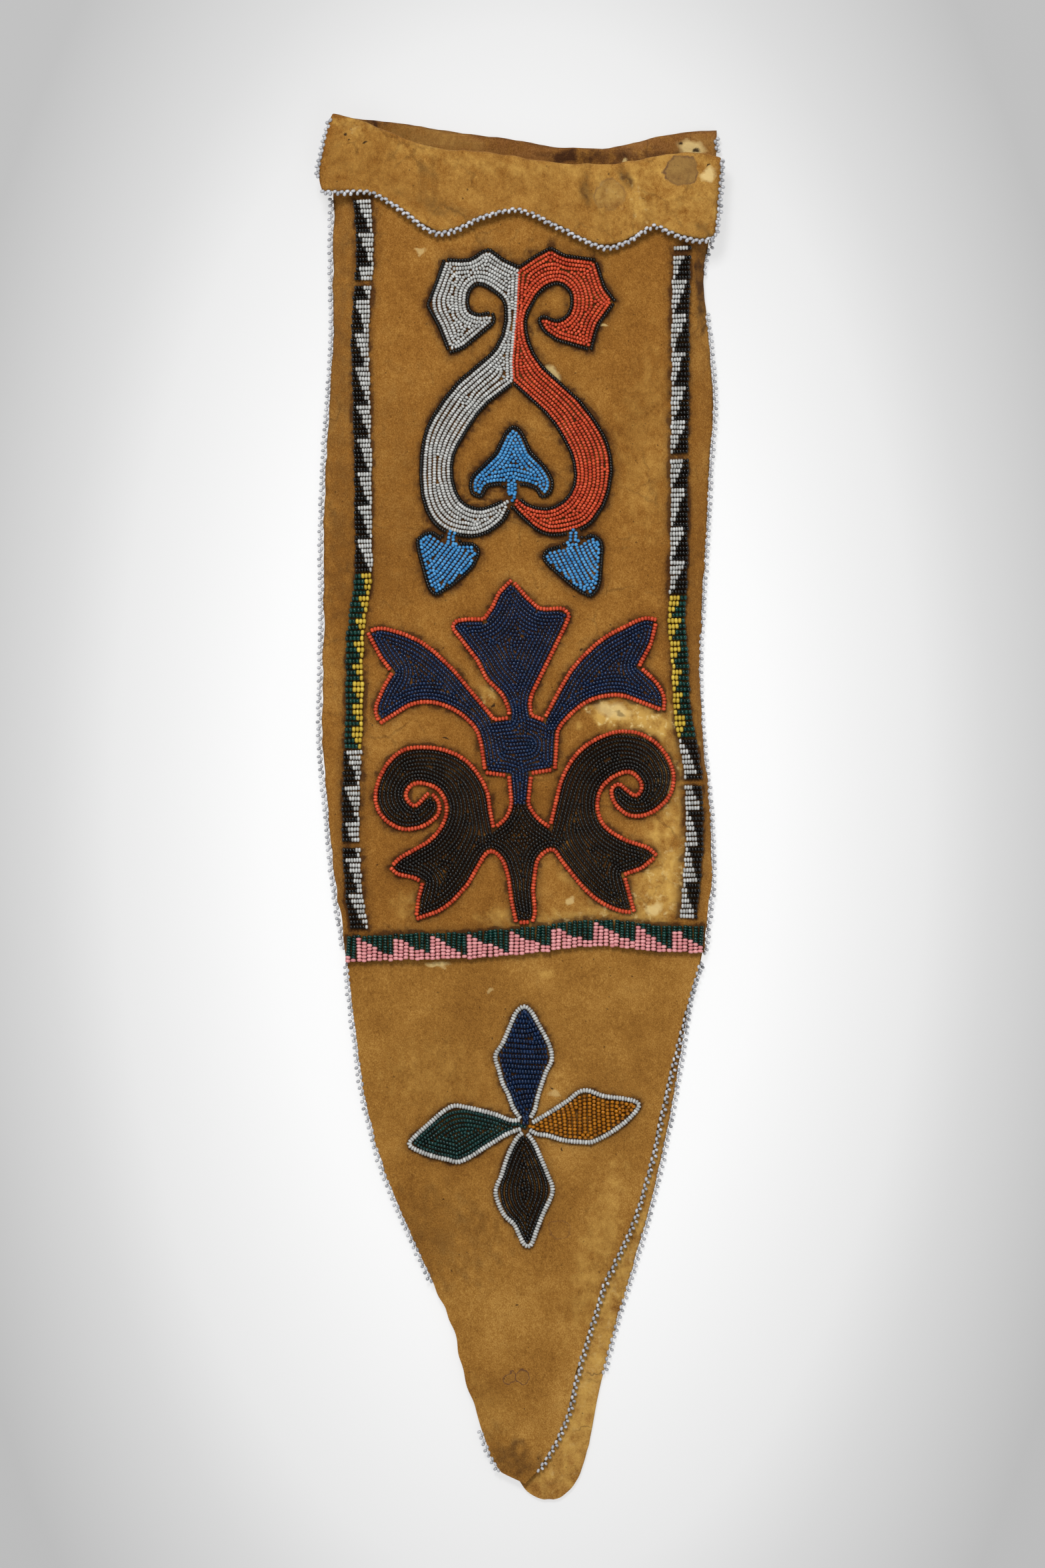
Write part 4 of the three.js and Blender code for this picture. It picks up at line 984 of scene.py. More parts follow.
    def line_at(self, depth: float) -> list[np.ndarray]:
        """Finds the closed lines that run at one depth inside the outline.

        Args:
            depth: distance from the outline.

        Returns:
            Closed lines as rows of places.
        """
        value = self.depth - depth
        above = value > 0
        code = above[:-1, :-1] + 2 * above[:-1, 1:] + 4 * above[1:, 1:] + 8 * above[1:, :-1]
        foot, right, head, left = range(4)
        cuts = {1: [(left, foot)], 2: [(foot, right)], 3: [(left, right)], 4: [(right, head)],
                5: [(left, foot), (right, head)], 6: [(foot, head)], 7: [(left, head)], 8: [(head, left)],
                9: [(head, foot)], 10: [(foot, right), (head, left)], 11: [(head, right)], 12: [(right, left)],
                13: [(right, foot)], 14: [(foot, left)]}
        links: dict[tuple, list[tuple]] = {}
        for r, c in zip(*np.nonzero((code > 0) & (code < 15))):
            sides = {foot: (r, c, 0), head: (r + 1, c, 0), left: (r, c, 1), right: (r, c + 1, 1)}
            for a, b in cuts[int(code[r, c])]:
                links.setdefault(sides[a], []).append(sides[b])
                links.setdefault(sides[b], []).append(sides[a])

        def crossing(side: tuple) -> tuple[float, float]:
            """Place where the line cuts one side of a cell.

            Args:
                side: row, column and direction of the side.

            Returns:
                Column and row, with fractions.
            """
            r, c, upright = side
            here, there = value[r, c], value[r + upright, c + 1 - upright]
            share = here / (here - there)
            return c + share * (1 - upright), r + share * upright

        lines = []
        while links:
            start = next(iter(links))
            walk, side = [], start
            while side in links:
                walk.append(crossing(side))
                ahead = links.pop(side)
                side = next((s for s in ahead if s in links), start)
            lines.append(self.origin + self.step * np.array([*walk, walk[0]]))
        return lines

    def crossings(self, place: float, axis: int) -> list[float]:
        """Places where the outline meets a straight line across the bag (axis 1) or along it (axis 0).

        Args:
            place: where that line is.
            axis: coordinate that it keeps.

        Returns:
            The other coordinate of each, in order.
        """
        found = []
        for loop in self.loops:
            for a, b in zip(loop, np.roll(loop, -1, axis=0)):
                if (a[axis] > place) != (b[axis] > place):
                    share = (place - a[axis]) / (b[axis] - a[axis])
                    found.append(a[1 - axis] + share * (b[1 - axis] - a[1 - axis]))
        return sorted(found)


# How high each hide stands over its solid, and how high its broad and its fine waves are
RELIEF = {Layer.PANEL: (0.0, 0.3, 0.09), Layer.TAIL: (0.25, 0.16, 0.05), Layer.CUFF: (0.45, 0.4, 0.1)}
BACK_RELIEF, LEAST_CUFF_RELIEF = 0.35, -0.2


@dataclass
class Lie:
    """How the hides lie: low relief that the beads on them follow."""

    creases: tuple[Crease, ...]
    panel: Ripple = field(default_factory=lambda: Ripple(3, 46.0))
    panel_fine: Ripple = field(default_factory=lambda: Ripple(4, 15.0))
    tail: Ripple = field(default_factory=lambda: Ripple(5, 52.0))
    tail_fine: Ripple = field(default_factory=lambda: Ripple(6, 17.0))
    cuff: Ripple = field(default_factory=lambda: Ripple(8, 24.0, 0.2))

    def relief(self, layer: Layer, x: np.ndarray, y: np.ndarray) -> np.ndarray:
        """Height that a hide stands over its CAD solid.

        Args:
            layer: the hide.
            x: places across the bag.
            y: places along the bag.

        Returns:
            Heights, which keep the tail and the cuff above what they lie on.
        """
        if layer is Layer.BACK:
            return np.full_like(x, BACK_RELIEF)
        waves = {
            Layer.PANEL: (self.panel, self.panel_fine),
            Layer.TAIL: (self.tail, self.tail_fine),
            Layer.CUFF: (self.cuff, self.panel_fine),
        }
        stand, high, low = RELIEF[layer]
        broad, fine = waves[layer]
        height = stand + high * broad.at(x, y) + low * fine.at(x, y)
        if layer is Layer.CUFF:
            return np.maximum(height + sum(crease.at(x, y) for crease in self.creases), LEAST_CUFF_RELIEF)
        return height


# Passes in which a field is filled up and settled: rounds, and the share of free room that a new bead needs
PASSES = ((30, 0.78), (16, 0.72))
# Distance, in bead rooms, under which beads push each other, how strongly, and how much less along a row
CROWDED, PUSH, ALONG_LESS = 1.15, 0.5, 0.6
# Most that a bead moves in a round, and how strongly its thread straightens
MOST_MOVE, THREAD_PULL = 0.2, 0.5
# Side of a cell in the grid that finds near beads
CELL = 2


@dataclass
class Layout:
    """Beads of one figure before they are sewn: their places and directions on the flat.

    Attributes:
        kind: the sort of bead.
        inset: least distance from the plate's rim to a bead's middle.
        spots: places of the beads.
        ways: directions of their holes.
        taken: places by cells of a grid, to find what is near.
        threads: numbers of three beads that follow each other on a thread.
    """

    kind: BeadKind
    inset: float
    spots: list[tuple[float, float]] = field(default_factory=list)
    ways: list[tuple[float, float]] = field(default_factory=list)
    taken: dict[tuple[int, int], list[tuple]] = field(default_factory=dict)
    threads: list[tuple[int, int, int]] = field(default_factory=list)

    def put(self, x: float, y: float, way: tuple[float, float], room: float = 0.82) -> bool:
        """Lays one bead, unless another is in the way.

        Args:
            x: place across the bag.
            y: place along the bag.
            way: direction of the row.
            room: share of a bead's full room that has to be free.

        Returns:
            True if the bead found room.
        """
        column, row = int(x // CELL), int(y // CELL)
        for near in ((c, r) for c in range(column - 1, column + 2) for r in range(row - 1, row + 2)):
            for px, py in self.taken.get(near, ()):
                dx, dy = px - x, py - y
                ahead = (dx * way[0] + dy * way[1]) / self.kind.pitch
                aside = (dy * way[0] - dx * way[1]) / self.kind.row
                if ahead * ahead + aside * aside < room * room:
                    return False
        self.taken.setdefault((column, row), []).append((x, y))
        self.spots.append((x, y))
        self.ways.append(way)
        return True

    def string(self, line: np.ndarray) -> None:
        """Lays beads along a line, leaving out those that find no room.

        Args:
            line: rows of places.
        """
        spots = resample(line, self.kind.pitch)
        run = 0
        for here, after in zip(spots, spots[1:]):
            x, y = (here + after) / 2
            ahead = after - here
            run = run + 1 if self.put(x, y, tuple(ahead / max(np.linalg.norm(ahead), 1e-6))) else 0
            if run > 2:
                last = len(self.spots) - 1
                self.threads.append((last - 2, last - 1, last))

    def string_where(self, line: np.ndarray, kept: np.ndarray) -> None:
        """Lays beads along those stretches of a line that are kept.

        Args:
            line: rows of places.
            kept: true for each place that is kept.
        """
        for run in np.split(np.arange(len(line)), np.nonzero(np.diff(kept))[0] + 1):
            if kept[run[0]] and len(run) > 5:
                self.string(line[run])

    def fill(self, ground: Ground, room: float) -> None:
        """Lays further beads where the rows have left that share of room, the deepest places first.

        Args:
            ground: the ground to fill.
            room: share of a bead's full room that has to be free.
        """
        rows, columns = np.nonzero(ground.depth > self.inset)
        order = np.argsort(-ground.depth[rows, columns], kind="stable")
        places = ground.origin + ground.step * np.column_stack([columns, rows])[order]
        tree = near_tree([(x, y, 0) for x, y in self.spots])
        self.taken = {}
        for x, y in self.spots:
            self.taken.setdefault((int(x // CELL), int(y // CELL)), []).append((x, y))
        for x, y in places:
            _, nearest, away = tree.find((x, y, 0))
            if away > 0.7 * self.kind.pitch:
                self.put(x, y, self.ways[nearest], room)

    def settle(self, ground: Ground, rounds: int) -> None:
        """Lets the beads push each other apart until they lie evenly inside the outline.

        Args:
            ground: the ground that they lie on.
            rounds: how often they push.
        """
        ways = np.array(self.ways)
        spots = np.array(self.spots)
        reach = 1.3 * max(self.kind.row, self.kind.pitch)
        for turn in range(rounds):
            if turn % 6 == 0:
                self.spots = [tuple(spot) for spot in spots]
                tree = near_tree([(x, y, 0) for x, y in self.spots])
                near = [[n for _, n, _ in tree.find_range((x, y, 0), reach) if n != i]
                        for i, (x, y) in enumerate(self.spots)]
                first = np.repeat(np.arange(len(spots)), [len(n) for n in near])
                second = np.concatenate([np.array(n, int) for n in near])
            apart = spots[second] - spots[first]
            way = ways[first]
            ahead = (apart * way).sum(axis=1) / self.kind.pitch
            aside = (apart[:, 1] * way[:, 0] - apart[:, 0] * way[:, 1]) / self.kind.row
            crowding = np.clip(CROWDED - np.hypot(ahead, aside), 0, 1)
            push = -PUSH * crowding[:, None] * apart / np.maximum(np.linalg.norm(apart, axis=1), 0.1)[:, None]
            push -= ALONG_LESS * (push * way).sum(axis=1)[:, None] * way
            move = np.zeros_like(spots)
            np.add.at(move, first, push)
            spots += np.clip(move, -MOST_MOVE, MOST_MOVE)
            before, middle, after = np.array(self.threads).T
            stray = (spots[before] + spots[after]) / 2 - spots[middle]
            ways[middle] = unit(spots[after] - spots[before])
            stray -= (stray * ways[middle]).sum(axis=1)[:, None] * ways[middle]
            spots[middle] += THREAD_PULL * stray
            short = np.clip(self.inset - ground.depths(spots), 0, 0.5)
            spots += short[:, None] * ground.inward(spots)
        self.spots = [tuple(spot) for spot in spots]
        self.ways = [tuple(way) for way in ways]


@dataclass
class Needle:
    """Sews beads to the hides.

    Attributes:
        lie: relief of the hides.
        seat: how high a bead's middle stands over the hide, as a share of its width.
    """

    lie: Lie
    seat: float = 0.42

    def sew(self, strand: Strand, ground: Ground, x: float, y: float, way: tuple, kind: BeadKind) -> None:
        """Threads one bead and seats it on the hide.

        Args:
            strand: the strand that gets it.
            ground: the ground under it.
            x: places across the bag.
            y: places along the bag.
            way: direction of the row.
            kind: the sort of bead.
        """
        layer = Layer.TAIL if "petal" in ground.node else Layer.PANEL
        lift = float(self.lie.relief(layer, np.array([x]), np.array([y]))[0])
        z = ground.height(y) + lift + self.seat * kind.across
        strand.add((x, y, z), (way[0], way[1], 0.0), kind.along, kind.across)


@dataclass(frozen=True)
class Figure:
    """One field or outline of the beadwork and how it is laid.

    Attributes:
        node: the CAD plate that it stands for.
        kind: its sort of bead.
        fill: the way that its beads are laid.
        turn: direction of straight rows, in degrees.
        grow: how far its outermost beads reach past the rim of its plate.
        around: the field that a row with an open end goes round.
        bare: rounds without beads, as places and radii.
        added: beads that reach past the plate, as places and directions in degrees.
        drawn: middle of the outline's row, open where the petals meet, if it is finer than the plate's.
    """

    node: str
    kind: BeadKind
    fill: Fill
    turn: float = 0.0
    grow: float = 0.0
    around: str = ""
    bare: tuple[tuple[float, float, float], ...] = ()
    added: tuple[tuple[float, float, float], ...] = ()
    drawn: tuple[tuple[float, float], ...] = ()

    def strand(self, needle: Needle) -> Strand:
        """Lays the figure's beads and sews them down.

        Args:
            needle: what sews them.

        Returns:
            The beads.
        """
        layout = Layout(self.kind, 0.5 * self.kind.row - self.grow)
        ground = Ground(self.node, ringed=self.fill is Fill.LINE and not self.around)
        if self.drawn:
            ground = Ground(self.node, outline=np.array(self.drawn))
        if self.drawn and self.fill is Fill.LINE:
            layout.string(spline(np.array(self.drawn)[:-1]))
        elif self.around:
            for line in Ground(self.around).runs(-layout.inset - STITCH_GAP):
                layout.string_where(line, ground.depths(line) > -1.0)
        elif self.fill is Fill.LINE:
            for line in ground.runs(layout.inset):
                layout.string(line)
        else:
            if self.fill is Fill.CONTOUR:
                for depth in np.arange(layout.inset, ground.depth.max(), self.kind.row):
                    for line in ground.runs(depth):
                        layout.string(line)
            else:
                self.lay_straight(layout, ground)
            for rounds, room in PASSES:
                layout.fill(ground, room)
                layout.settle(ground, rounds)
        strand = Strand()
        for (x, y), way in zip(layout.spots, layout.ways):
            if all(math.hypot(x - bx, y - by) > radius for bx, by, radius in self.bare):
                needle.sew(strand, ground, x, y, way, self.kind)
        for x, y, turn in self.added:
            needle.sew(strand, ground, x, y, heading(turn), self.kind)
        return strand

    def lay_straight(self, layout: Layout, ground: Ground) -> None:
        """Lays straight rows from side to side of the figure.

        Args:
            layout: the layout that gets the beads.
            ground: the figure's ground.
        """
        way = np.array(heading(self.turn))
        aside = np.array([-way[1], way[0]])
        rim = np.vstack(ground.loops)
        along, across = rim @ way, rim @ aside
        for offset in np.arange(across.min() + layout.inset, across.max(), self.kind.row):
            reach = np.arange(along.min(), along.max(), 0.2)
            line = reach[:, None] * way + offset * aside
            layout.string_where(line, ground.depths(line) > layout.inset)


SCROLL_WHITE = BeadKind(WHITE, 1.14, 1.84)
SCROLL_RED = BeadKind(RED, 1.26, 1.72)
BLACK_ROW = BeadKind(BLACK, 1.14, 1.6, 1.02)
BLUE_FIELD = BeadKind(BLUE, 1.32, 1.74)
NAVY_FIELD = BeadKind(NAVY, 1.34, 1.6)
BLACK_FIELD = BeadKind(BLACK, 1.34, 1.6)
RED_ROW = BeadKind(RED, 1.34, 1.72, 1.05)
WHITE_ROW = BeadKind(WHITE, 1.18, 1.9, 1.05)

TREFOIL_STEM = ((-3.9, 129.5, 90), (-1.9, 129.3, 88), (-2.0, 128.0, 78), (-2.8, 126.8, 92))
LEFT_STEM = ((-28.2, 114.4, 65), (-28.7, 113.1, 70), (-26.5, 113.4, 110), (-28.9, 111.6, 80), (-27.1, 112.0, 90),
             (-29.1, 110.0, 86), (-27.1, 110.7, 94), (-27.0, 109.2, 90))
RIGHT_STEM = ((22.3, 114.8, 100), (21.3, 113.4, 96), (23.4, 113.5, 80), (21.2, 112.0, 88), (23.3, 112.1, 92),
              (21.1, 110.6, 90), (23.2, 110.7, 86))

# Middles of the rows round the petals, and last the place where each closes under the others
TOP_PETAL = (
    (0.5, -127.6), (-1.0, -125.3), (-2.6, -122.8), (-4.5, -117.4), (-6.7, -113.2), (-8.2, -107.8),
    (-9.8, -101.7), (-6.7, -96.4), (-3.5, -88.9), (-1.0, -83.5), (2.2, -81.3), (5.0, -83.5), (7.9, -88.5),
    (12.2, -96.7), (13.5, -103.0), (11.1, -108.2), (9.0, -114.2), (7.3, -119.9), (6.7, -123.2), (4.7, -127.2),
    (2.6, -131.7),
)
RIGHT_PETAL = (
    (5.4, -129.2), (9.0, -127.1), (14.3, -123.9), (20.8, -119.6), (24.3, -116.7), (28.3, -115.9),
    (34.7, -118.2), (42.5, -119.2), (47.5, -120.3), (49.5, -121.9), (47.5, -125.2), (42.9, -129.6),
    (36.5, -134.0), (30.0, -137.1), (25.8, -137.1), (18.3, -136.4), (11.8, -134.4), (7.5, -133.9),
    (4.3, -132.1), (2.9, -130.5),
)
BOTTOM_PETAL = (
    (1.5, -133.3), (-0.7, -135.3), (-3.2, -139.6), (-5.5, -145.2), (-7.2, -150.7), (-9.7, -157.3),
    (-8.2, -163.2), (-5.7, -167.8), (-2.1, -171.0), (-0.2, -174.9), (1.9, -179.1), (3.6, -180.2),
    (5.2, -179.1), (7.2, -173.5), (10.0, -166.4), (13.8, -157.4), (11.8, -150.7), (9.0, -143.9), (6.1, -137.4),
    (3.3, -133.7), (2.4, -132.9),
)
LEFT_PETAL = (
    (0.4, -128.0), (-3.2, -128.3), (-9.2, -126.0), (-15.7, -124.2), (-22.1, -122.8), (-26.7, -122.2),
    (-31.0, -124.4), (-37.1, -129.6), (-42.7, -134.7), (-45.3, -138.3), (-40.0, -141.4), (-33.5, -143.5),
    (-29.2, -144.4), (-25.2, -145.4), (-20.0, -143.2), (-14.6, -139.7), (-9.2, -136.4), (-5.7, -134.2),
    (-1.4, -132.4), (0.8, -131.8), (3.3, -130.8),
)

FIGURES = (
    Figure("scroll_outer_outline", BLACK_ROW, Fill.LINE, bare=((-28.0, 113.6, 2.6), (22.3, 114.0, 2.6))),
    Figure("scroll_inner_outline", BLACK_ROW, Fill.LINE, bare=((-3.2, 127.4, 4.0),)),
    Figure("scroll_white_field", SCROLL_WHITE, Fill.CONTOUR, grow=0.65),
    Figure("scroll_red_field", SCROLL_RED, Fill.CONTOUR, grow=0.65),
    Figure("trefoil_outline", BLACK_ROW, Fill.LINE, grow=-0.35, around="trefoil_field"),
    Figure("trefoil_field", BLUE_FIELD, Fill.CONTOUR, grow=0.45, added=TREFOIL_STEM),
    Figure("left_heart_outline", BLACK_ROW, Fill.LINE, grow=-0.35, around="left_heart_field"),
    Figure("left_heart_field", BLUE_FIELD, Fill.STRAIGHT, 52.0, 0.8, bare=((-28.0, 112.6, 3.3),), added=LEFT_STEM),
    Figure("right_heart_outline", BLACK_ROW, Fill.LINE, grow=-0.35, around="right_heart_field"),
    Figure("right_heart_field", BLUE_FIELD, Fill.STRAIGHT, 118.0, 0.8, bare=((22.3, 113.0, 3.3),), added=RIGHT_STEM),
    Figure("plant_outline", RED_ROW, Fill.LINE, grow=0.55),
    Figure("navy_plant_field", NAVY_FIELD, Fill.CONTOUR, grow=0.75),
    Figure("black_scroll_field", BLACK_FIELD, Fill.CONTOUR, grow=0.75),
    Figure("top_petal_outline", WHITE_ROW, Fill.LINE, drawn=TOP_PETAL),
    Figure("top_petal_field", BeadKind(NAVY, 1.18, 2.0, 0.98), Fill.STRAIGHT, 0.0, -0.75,
           added=((1.9, -129.3, 0), (3.4, -129.2, 0), (2.0, -127.2, 0), (3.4, -127.3, 0)), drawn=TOP_PETAL),
    Figure("right_petal_outline", WHITE_ROW, Fill.LINE, drawn=RIGHT_PETAL),
    Figure("right_petal_field", BeadKind(OCHRE, 1.4, 1.9), Fill.STRAIGHT, 90.0, -0.75,
           added=((4.5, -130.7, 90),), drawn=RIGHT_PETAL),
    Figure("bottom_petal_outline", WHITE_ROW, Fill.LINE, drawn=BOTTOM_PETAL),
    Figure("bottom_petal_field", BeadKind(BLACK, 1.26, 1.75), Fill.CONTOUR, grow=-0.8, drawn=BOTTOM_PETAL),
    Figure("left_petal_outline", WHITE_ROW, Fill.LINE, drawn=LEFT_PETAL),
    Figure("left_petal_field", BeadKind(TEAL, 1.26, 1.75), Fill.CONTOUR, grow=-0.8,
           added=((1.0, -130.6, 0), (2.4, -131.0, 0)), drawn=LEFT_PETAL),
)


@dataclass
class Beadwork:
    """All the flat beadwork on the front."""

    bead: SeedBead
    needle: Needle
    centres: list[tuple[float, float, float]] = field(default_factory=list)

    def finish(self, node: str, strand: Strand, glass: GlassFinish) -> None:
        """Makes one piece of a strand and sets it in the frame.

        Args:
            node: the CAD plate that it stands for.
            strand: its beads.
            glass: their finish.
        """
        piece = strand.piece(f"{node}.strung", self.bead, seed_of(node))
        dress(piece, glass.material(), glass.slot, node)
        self.centres += strand.centres

    def figures(self) -> None:
        """Lays the drawn figures, outlines before what they enclose."""
        for figure in FIGURES:
            self.finish(figure.node, figure.strand(self.needle), figure.kind.glass)

    def rows(self, pair: "Rows") -> None:
        """Lays one stretch of short rows in its two colours."""
        for node, kind, strand in pair.strands(self.needle):
            self.finish(node, strand, kind.glass)


@dataclass(frozen=True)
class Rows:
    """Stretch of short bead rows in two colours that part along saw teeth.

    Attributes:
        first: node and bead of one colour.
        second: node and bead of the other.
        axis: 1 for rows across the bag, 0 for columns along it.
        pitch: distance between rows.
        bare: places where rows are lost, with half their width.
        teeth: places of the beads' saw teeth, each with that of the plates'.
        ragged: how far a row's ends stray.
        slant: mean and spread of the rows' slopes.
    """

    first: tuple[str, BeadKind]
    second: tuple[str, BeadKind]
    axis: int
    pitch: float
    bare: tuple[tuple[float, float], ...] = ()
    teeth: tuple[tuple[float, float], ...] = ((-1000.0, -1000.0), (1000.0, 1000.0))
    ragged: float = 0.35
    slant: tuple[float, float] = (0.02, 0.03)

    def strands(self, needle: Needle) -> list[tuple[str, BeadKind, Strand]]:
        """Lays the rows one after another.

        Args:
            needle: what sews them.

        Returns:
            Node, bead and strand of each colour.
        """
        sides = [(*side, Ground(side[0]), Strand()) for side in (self.first, self.second)]
        rims = np.concatenate([loop[:, self.axis] for _, _, ground, _ in sides for loop in ground.loops])
        count = max(1, round(np.ptp(rims) / self.pitch))
        draw = np.random.default_rng(seed_of(self.first[0]))
        for row in range(count):
            place = rims.max() - (row + 0.5) * np.ptp(rims) / count
            if any(abs(place - middle) < half for middle, half in self.bare):
                continue
            ends = [e for _, _, ground, _ in sides for e in ground.crossings(place, self.axis)]
            if not ends:
                continue
            stray = draw.uniform(-self.ragged, self.ragged), draw.uniform(-self.ragged, self.ragged)
            low, high = min(ends) - stray[0], max(ends) + stray[1]
            slope = draw.normal(*self.slant)
            threaded, reach = [], 0.0
            while reach < high - low - 0.5:
                there = low + reach + 0.6
                tooth = np.interp(place, *zip(*self.teeth))
                test = np.array([[there, tooth] if self.axis else [tooth, there]])
                threaded.append(max(sides, key=lambda side: side[2].depths(test)[0]))
                reach += threaded[-1][1].pitch
            end = low
            for _, kind, ground, strand in threaded:
                fitted = replace(kind, pitch=kind.pitch * (high - low) / reach)
                across = end + 0.5 * fitted.pitch
                end += fitted.pitch
                along = place + slope * (across - (low + high) / 2)
                x, y = (across, along) if self.axis else (along, across)
                needle.sew(strand, ground, x, y, (1.0, slope) if self.axis else (slope, 1.0), fitted)
        return [(node, kind, strand) for node, kind, _, strand in sides]


LANE_WHITE = BeadKind(WHITE, 1.14, 1.98, 0.91)
LANE_BLACK = BeadKind(BLACK, 1.26, 1.98, 0.92)
LANE_YELLOW = BeadKind(YELLOW, 1.5, 2.3, 0.93)
LANE_GREEN = BeadKind(GREEN, 1.5, 2.3, 0.88)
BAND_PINK = BeadKind(PINK, 1.42, 2.16, 0.99)
BAND_GREEN = BeadKind(GREEN, 1.14, 2.16, 0.92)

BAND_TEETH = ((-80, -79), (-65.8, -64.8), (-51.1, -49.6), (-35.3, -34.7), (-20.6, -19.1), (-3.8, -4.6),
              (14.1, 10.5), (32.0, 25.7), (47.8, 41.0), (62.5, 56.2), (77.2, 71.2), (80, 71.4))
ROWS = (
    Rows(("left_lane_upper_black", LANE_BLACK), ("left_lane_upper_white", LANE_WHITE), 1, 1.97, ((216.5, 1.4),)),
    Rows(("left_lane_middle_green", LANE_GREEN), ("left_lane_middle_yellow", LANE_YELLOW), 1, 2.35),
    Rows(("left_lane_lower_black", LANE_BLACK), ("left_lane_lower_white", LANE_WHITE), 1, 2.12, ((-15, 1.3),)),
    Rows(("right_lane_upper_white", LANE_WHITE), ("right_lane_upper_black", LANE_BLACK), 1, 1.98,
         ((228, 1.4), (145, 1.3))),
    Rows(("right_lane_middle_yellow", LANE_YELLOW), ("right_lane_middle_green", LANE_GREEN), 1, 2.35),
    Rows(("right_lane_lower_white", LANE_WHITE), ("right_lane_lower_black", LANE_BLACK), 1, 2.15, ((10.5, 1.4),)),
    Rows(("tail_band_pink", BAND_PINK), ("tail_band_green", BAND_GREEN), 0, 2.16, teeth=BAND_TEETH),
)


@dataclass
class Edging:
    """Beads along the edge of a hide, one lying on the edge and the next hanging from it by turns.

    Attributes:
        node: the CAD cord whose line it follows.
        axis: coordinate that puts the cord's points in order.
        bare: stretches along that coordinate that have lost their beads.
        flip: whether the outside is on the left of the line.
        layer: the hide that it edges.
        pitch: distance from bead to bead.
        hang: how far past the cord's middle the hanging beads are.
        lift: how high the lying beads are over the cord's middle.
        inset: how far inside the cord's middle the lying beads are.
        further: how far the beads go on past the cord's first end.
        beyond: places that they go on to past its last end.
        lying: length and width of the beads on the edge.
        hanging: length and width of the beads that hang from it.
        jog: how far a bead strays from its place.
        clear: least height of a bead's middle over the floor, as a share of its width.
    """

    node: str
    axis: int
    flip: bool
    layer: Layer
    bare: tuple[tuple[float, float], ...] = ()
    pitch: float = 1.4
    hang: float = 0.15
    lift: float = 0.7
    inset: float = 0.9
    further: float = 0.0
    beyond: tuple[tuple[float, float, float], ...] = ()
    lying: tuple[float, float] = (1.2, 1.8)
    hanging: tuple[float, float] = (1.25, 1.65)
    jog: float = 0.12
    clear: float = 0.6

    def line(self) -> np.ndarray:
        """Finds the middles of the cord's rings and draws a smooth line through them.

        Returns:
            Rows of places.
        """
        rings: list[list[np.ndarray]] = []
        for spot in np.unique(np.round(triangles_of(self.node).reshape(-1, 3), 3), axis=0):
            near = next((ring for ring in rings if np.linalg.norm(ring[0] - spot) < 2.0), None)
            if near is None:
                rings.append([spot])
            else:
                near.append(spot)
        middles = np.array([np.mean(ring, axis=0) for ring in rings])
        middles = middles[np.argsort(middles[:, self.axis])]
        if self.further:
            back = (middles[0] - middles[1]) / np.linalg.norm(middles[0] - middles[1])
            middles = np.vstack([middles[0] + self.further * back, middles])
        return spline(np.vstack([middles, *self.beyond]))

    def build(self, bead: SeedBead, lie: Lie) -> None:
        """Threads the edging and sets it in the frame.

        Args:
            bead: the bead to copy.
            lie: relief of the hides.
        """
        strand = Strand()
        draw = np.random.default_rng(seed_of(self.node))
        spots = resample(self.line(), self.pitch)
        spots[:, 2] += lie.relief(self.layer, spots[:, 0], spots[:, 1])
        for i, (here, after) in enumerate(zip(spots, spots[1:])):
            if any(low < here[self.axis] < high for low, high in self.bare):
                continue
            ahead = (after - here) / np.linalg.norm(after - here)
            out = np.array([ahead[1], -ahead[0], 0.0]) * (-1 if self.flip else 1)
            jog = draw.normal(0, self.jog, 3)
            if i % 2:
                centre, way, size = here + self.hang * out + jog, ahead + 0.25 * out, self.hanging
            else:
                centre, way, size = here - self.inset * out + jog, out + 0.2 * ahead, self.lying
                centre[2] += self.lift
            centre[2] = max(centre[2], self.clear * size[1])
            strand.add(tuple(centre), way, *size)
        piece = strand.piece(f"{self.node}.strung", bead, seed_of(self.node))
        dress(piece, EDGE_WHITE.material(), EDGE_WHITE.slot, self.node)


CUFF_BEADS = {"pitch": 1.33, "hang": -0.15, "lying": (1.36, 1.85), "hanging": (1.42, 1.95)}
EDGINGS = (
    Edging("cuff_edge_beads", 0, False, Layer.CUFF, **CUFF_BEADS),
    Edging("cuff_left_edge_beads", 1, True, Layer.CUFF, lift=1.05, **CUFF_BEADS),
    Edging("cuff_right_edge_beads", 1, False, Layer.CUFF, ((266.2, 270.0),), lift=1.05, further=6.0,
           beyond=((82.4, 270.0, 2.6), (81.9, 273.5, 2.4), (81.9, 277.6, 2.4)), **CUFF_BEADS),
    Edging("left_seam_beads", 1, True, Layer.BACK, hang=0.8, inset=0.2, further=9.0,
           beyond=((-77.0, 252.5, 4.5),)),
    Edging("right_seam_beads", 1, False, Layer.BACK, ((205, 218),), hang=0.35, inset=0.55, further=11.0),
    Edging("front_tail_left_edge_beads", 1, True, Layer.TAIL),
    Edging("front_tail_tip_beads", 1, True, Layer.TAIL, ((-256, -240),)),
    Edging("front_tail_right_edge_beads", 1, False, Layer.TAIL),
    Edging("back_tail_right_edge_beads", 1, False, Layer.BACK, hang=-0.1, inset=1.1),
    Edging("back_tail_left_edge_beads", 1, True, Layer.BACK, hang=-0.8, inset=1.8),
)


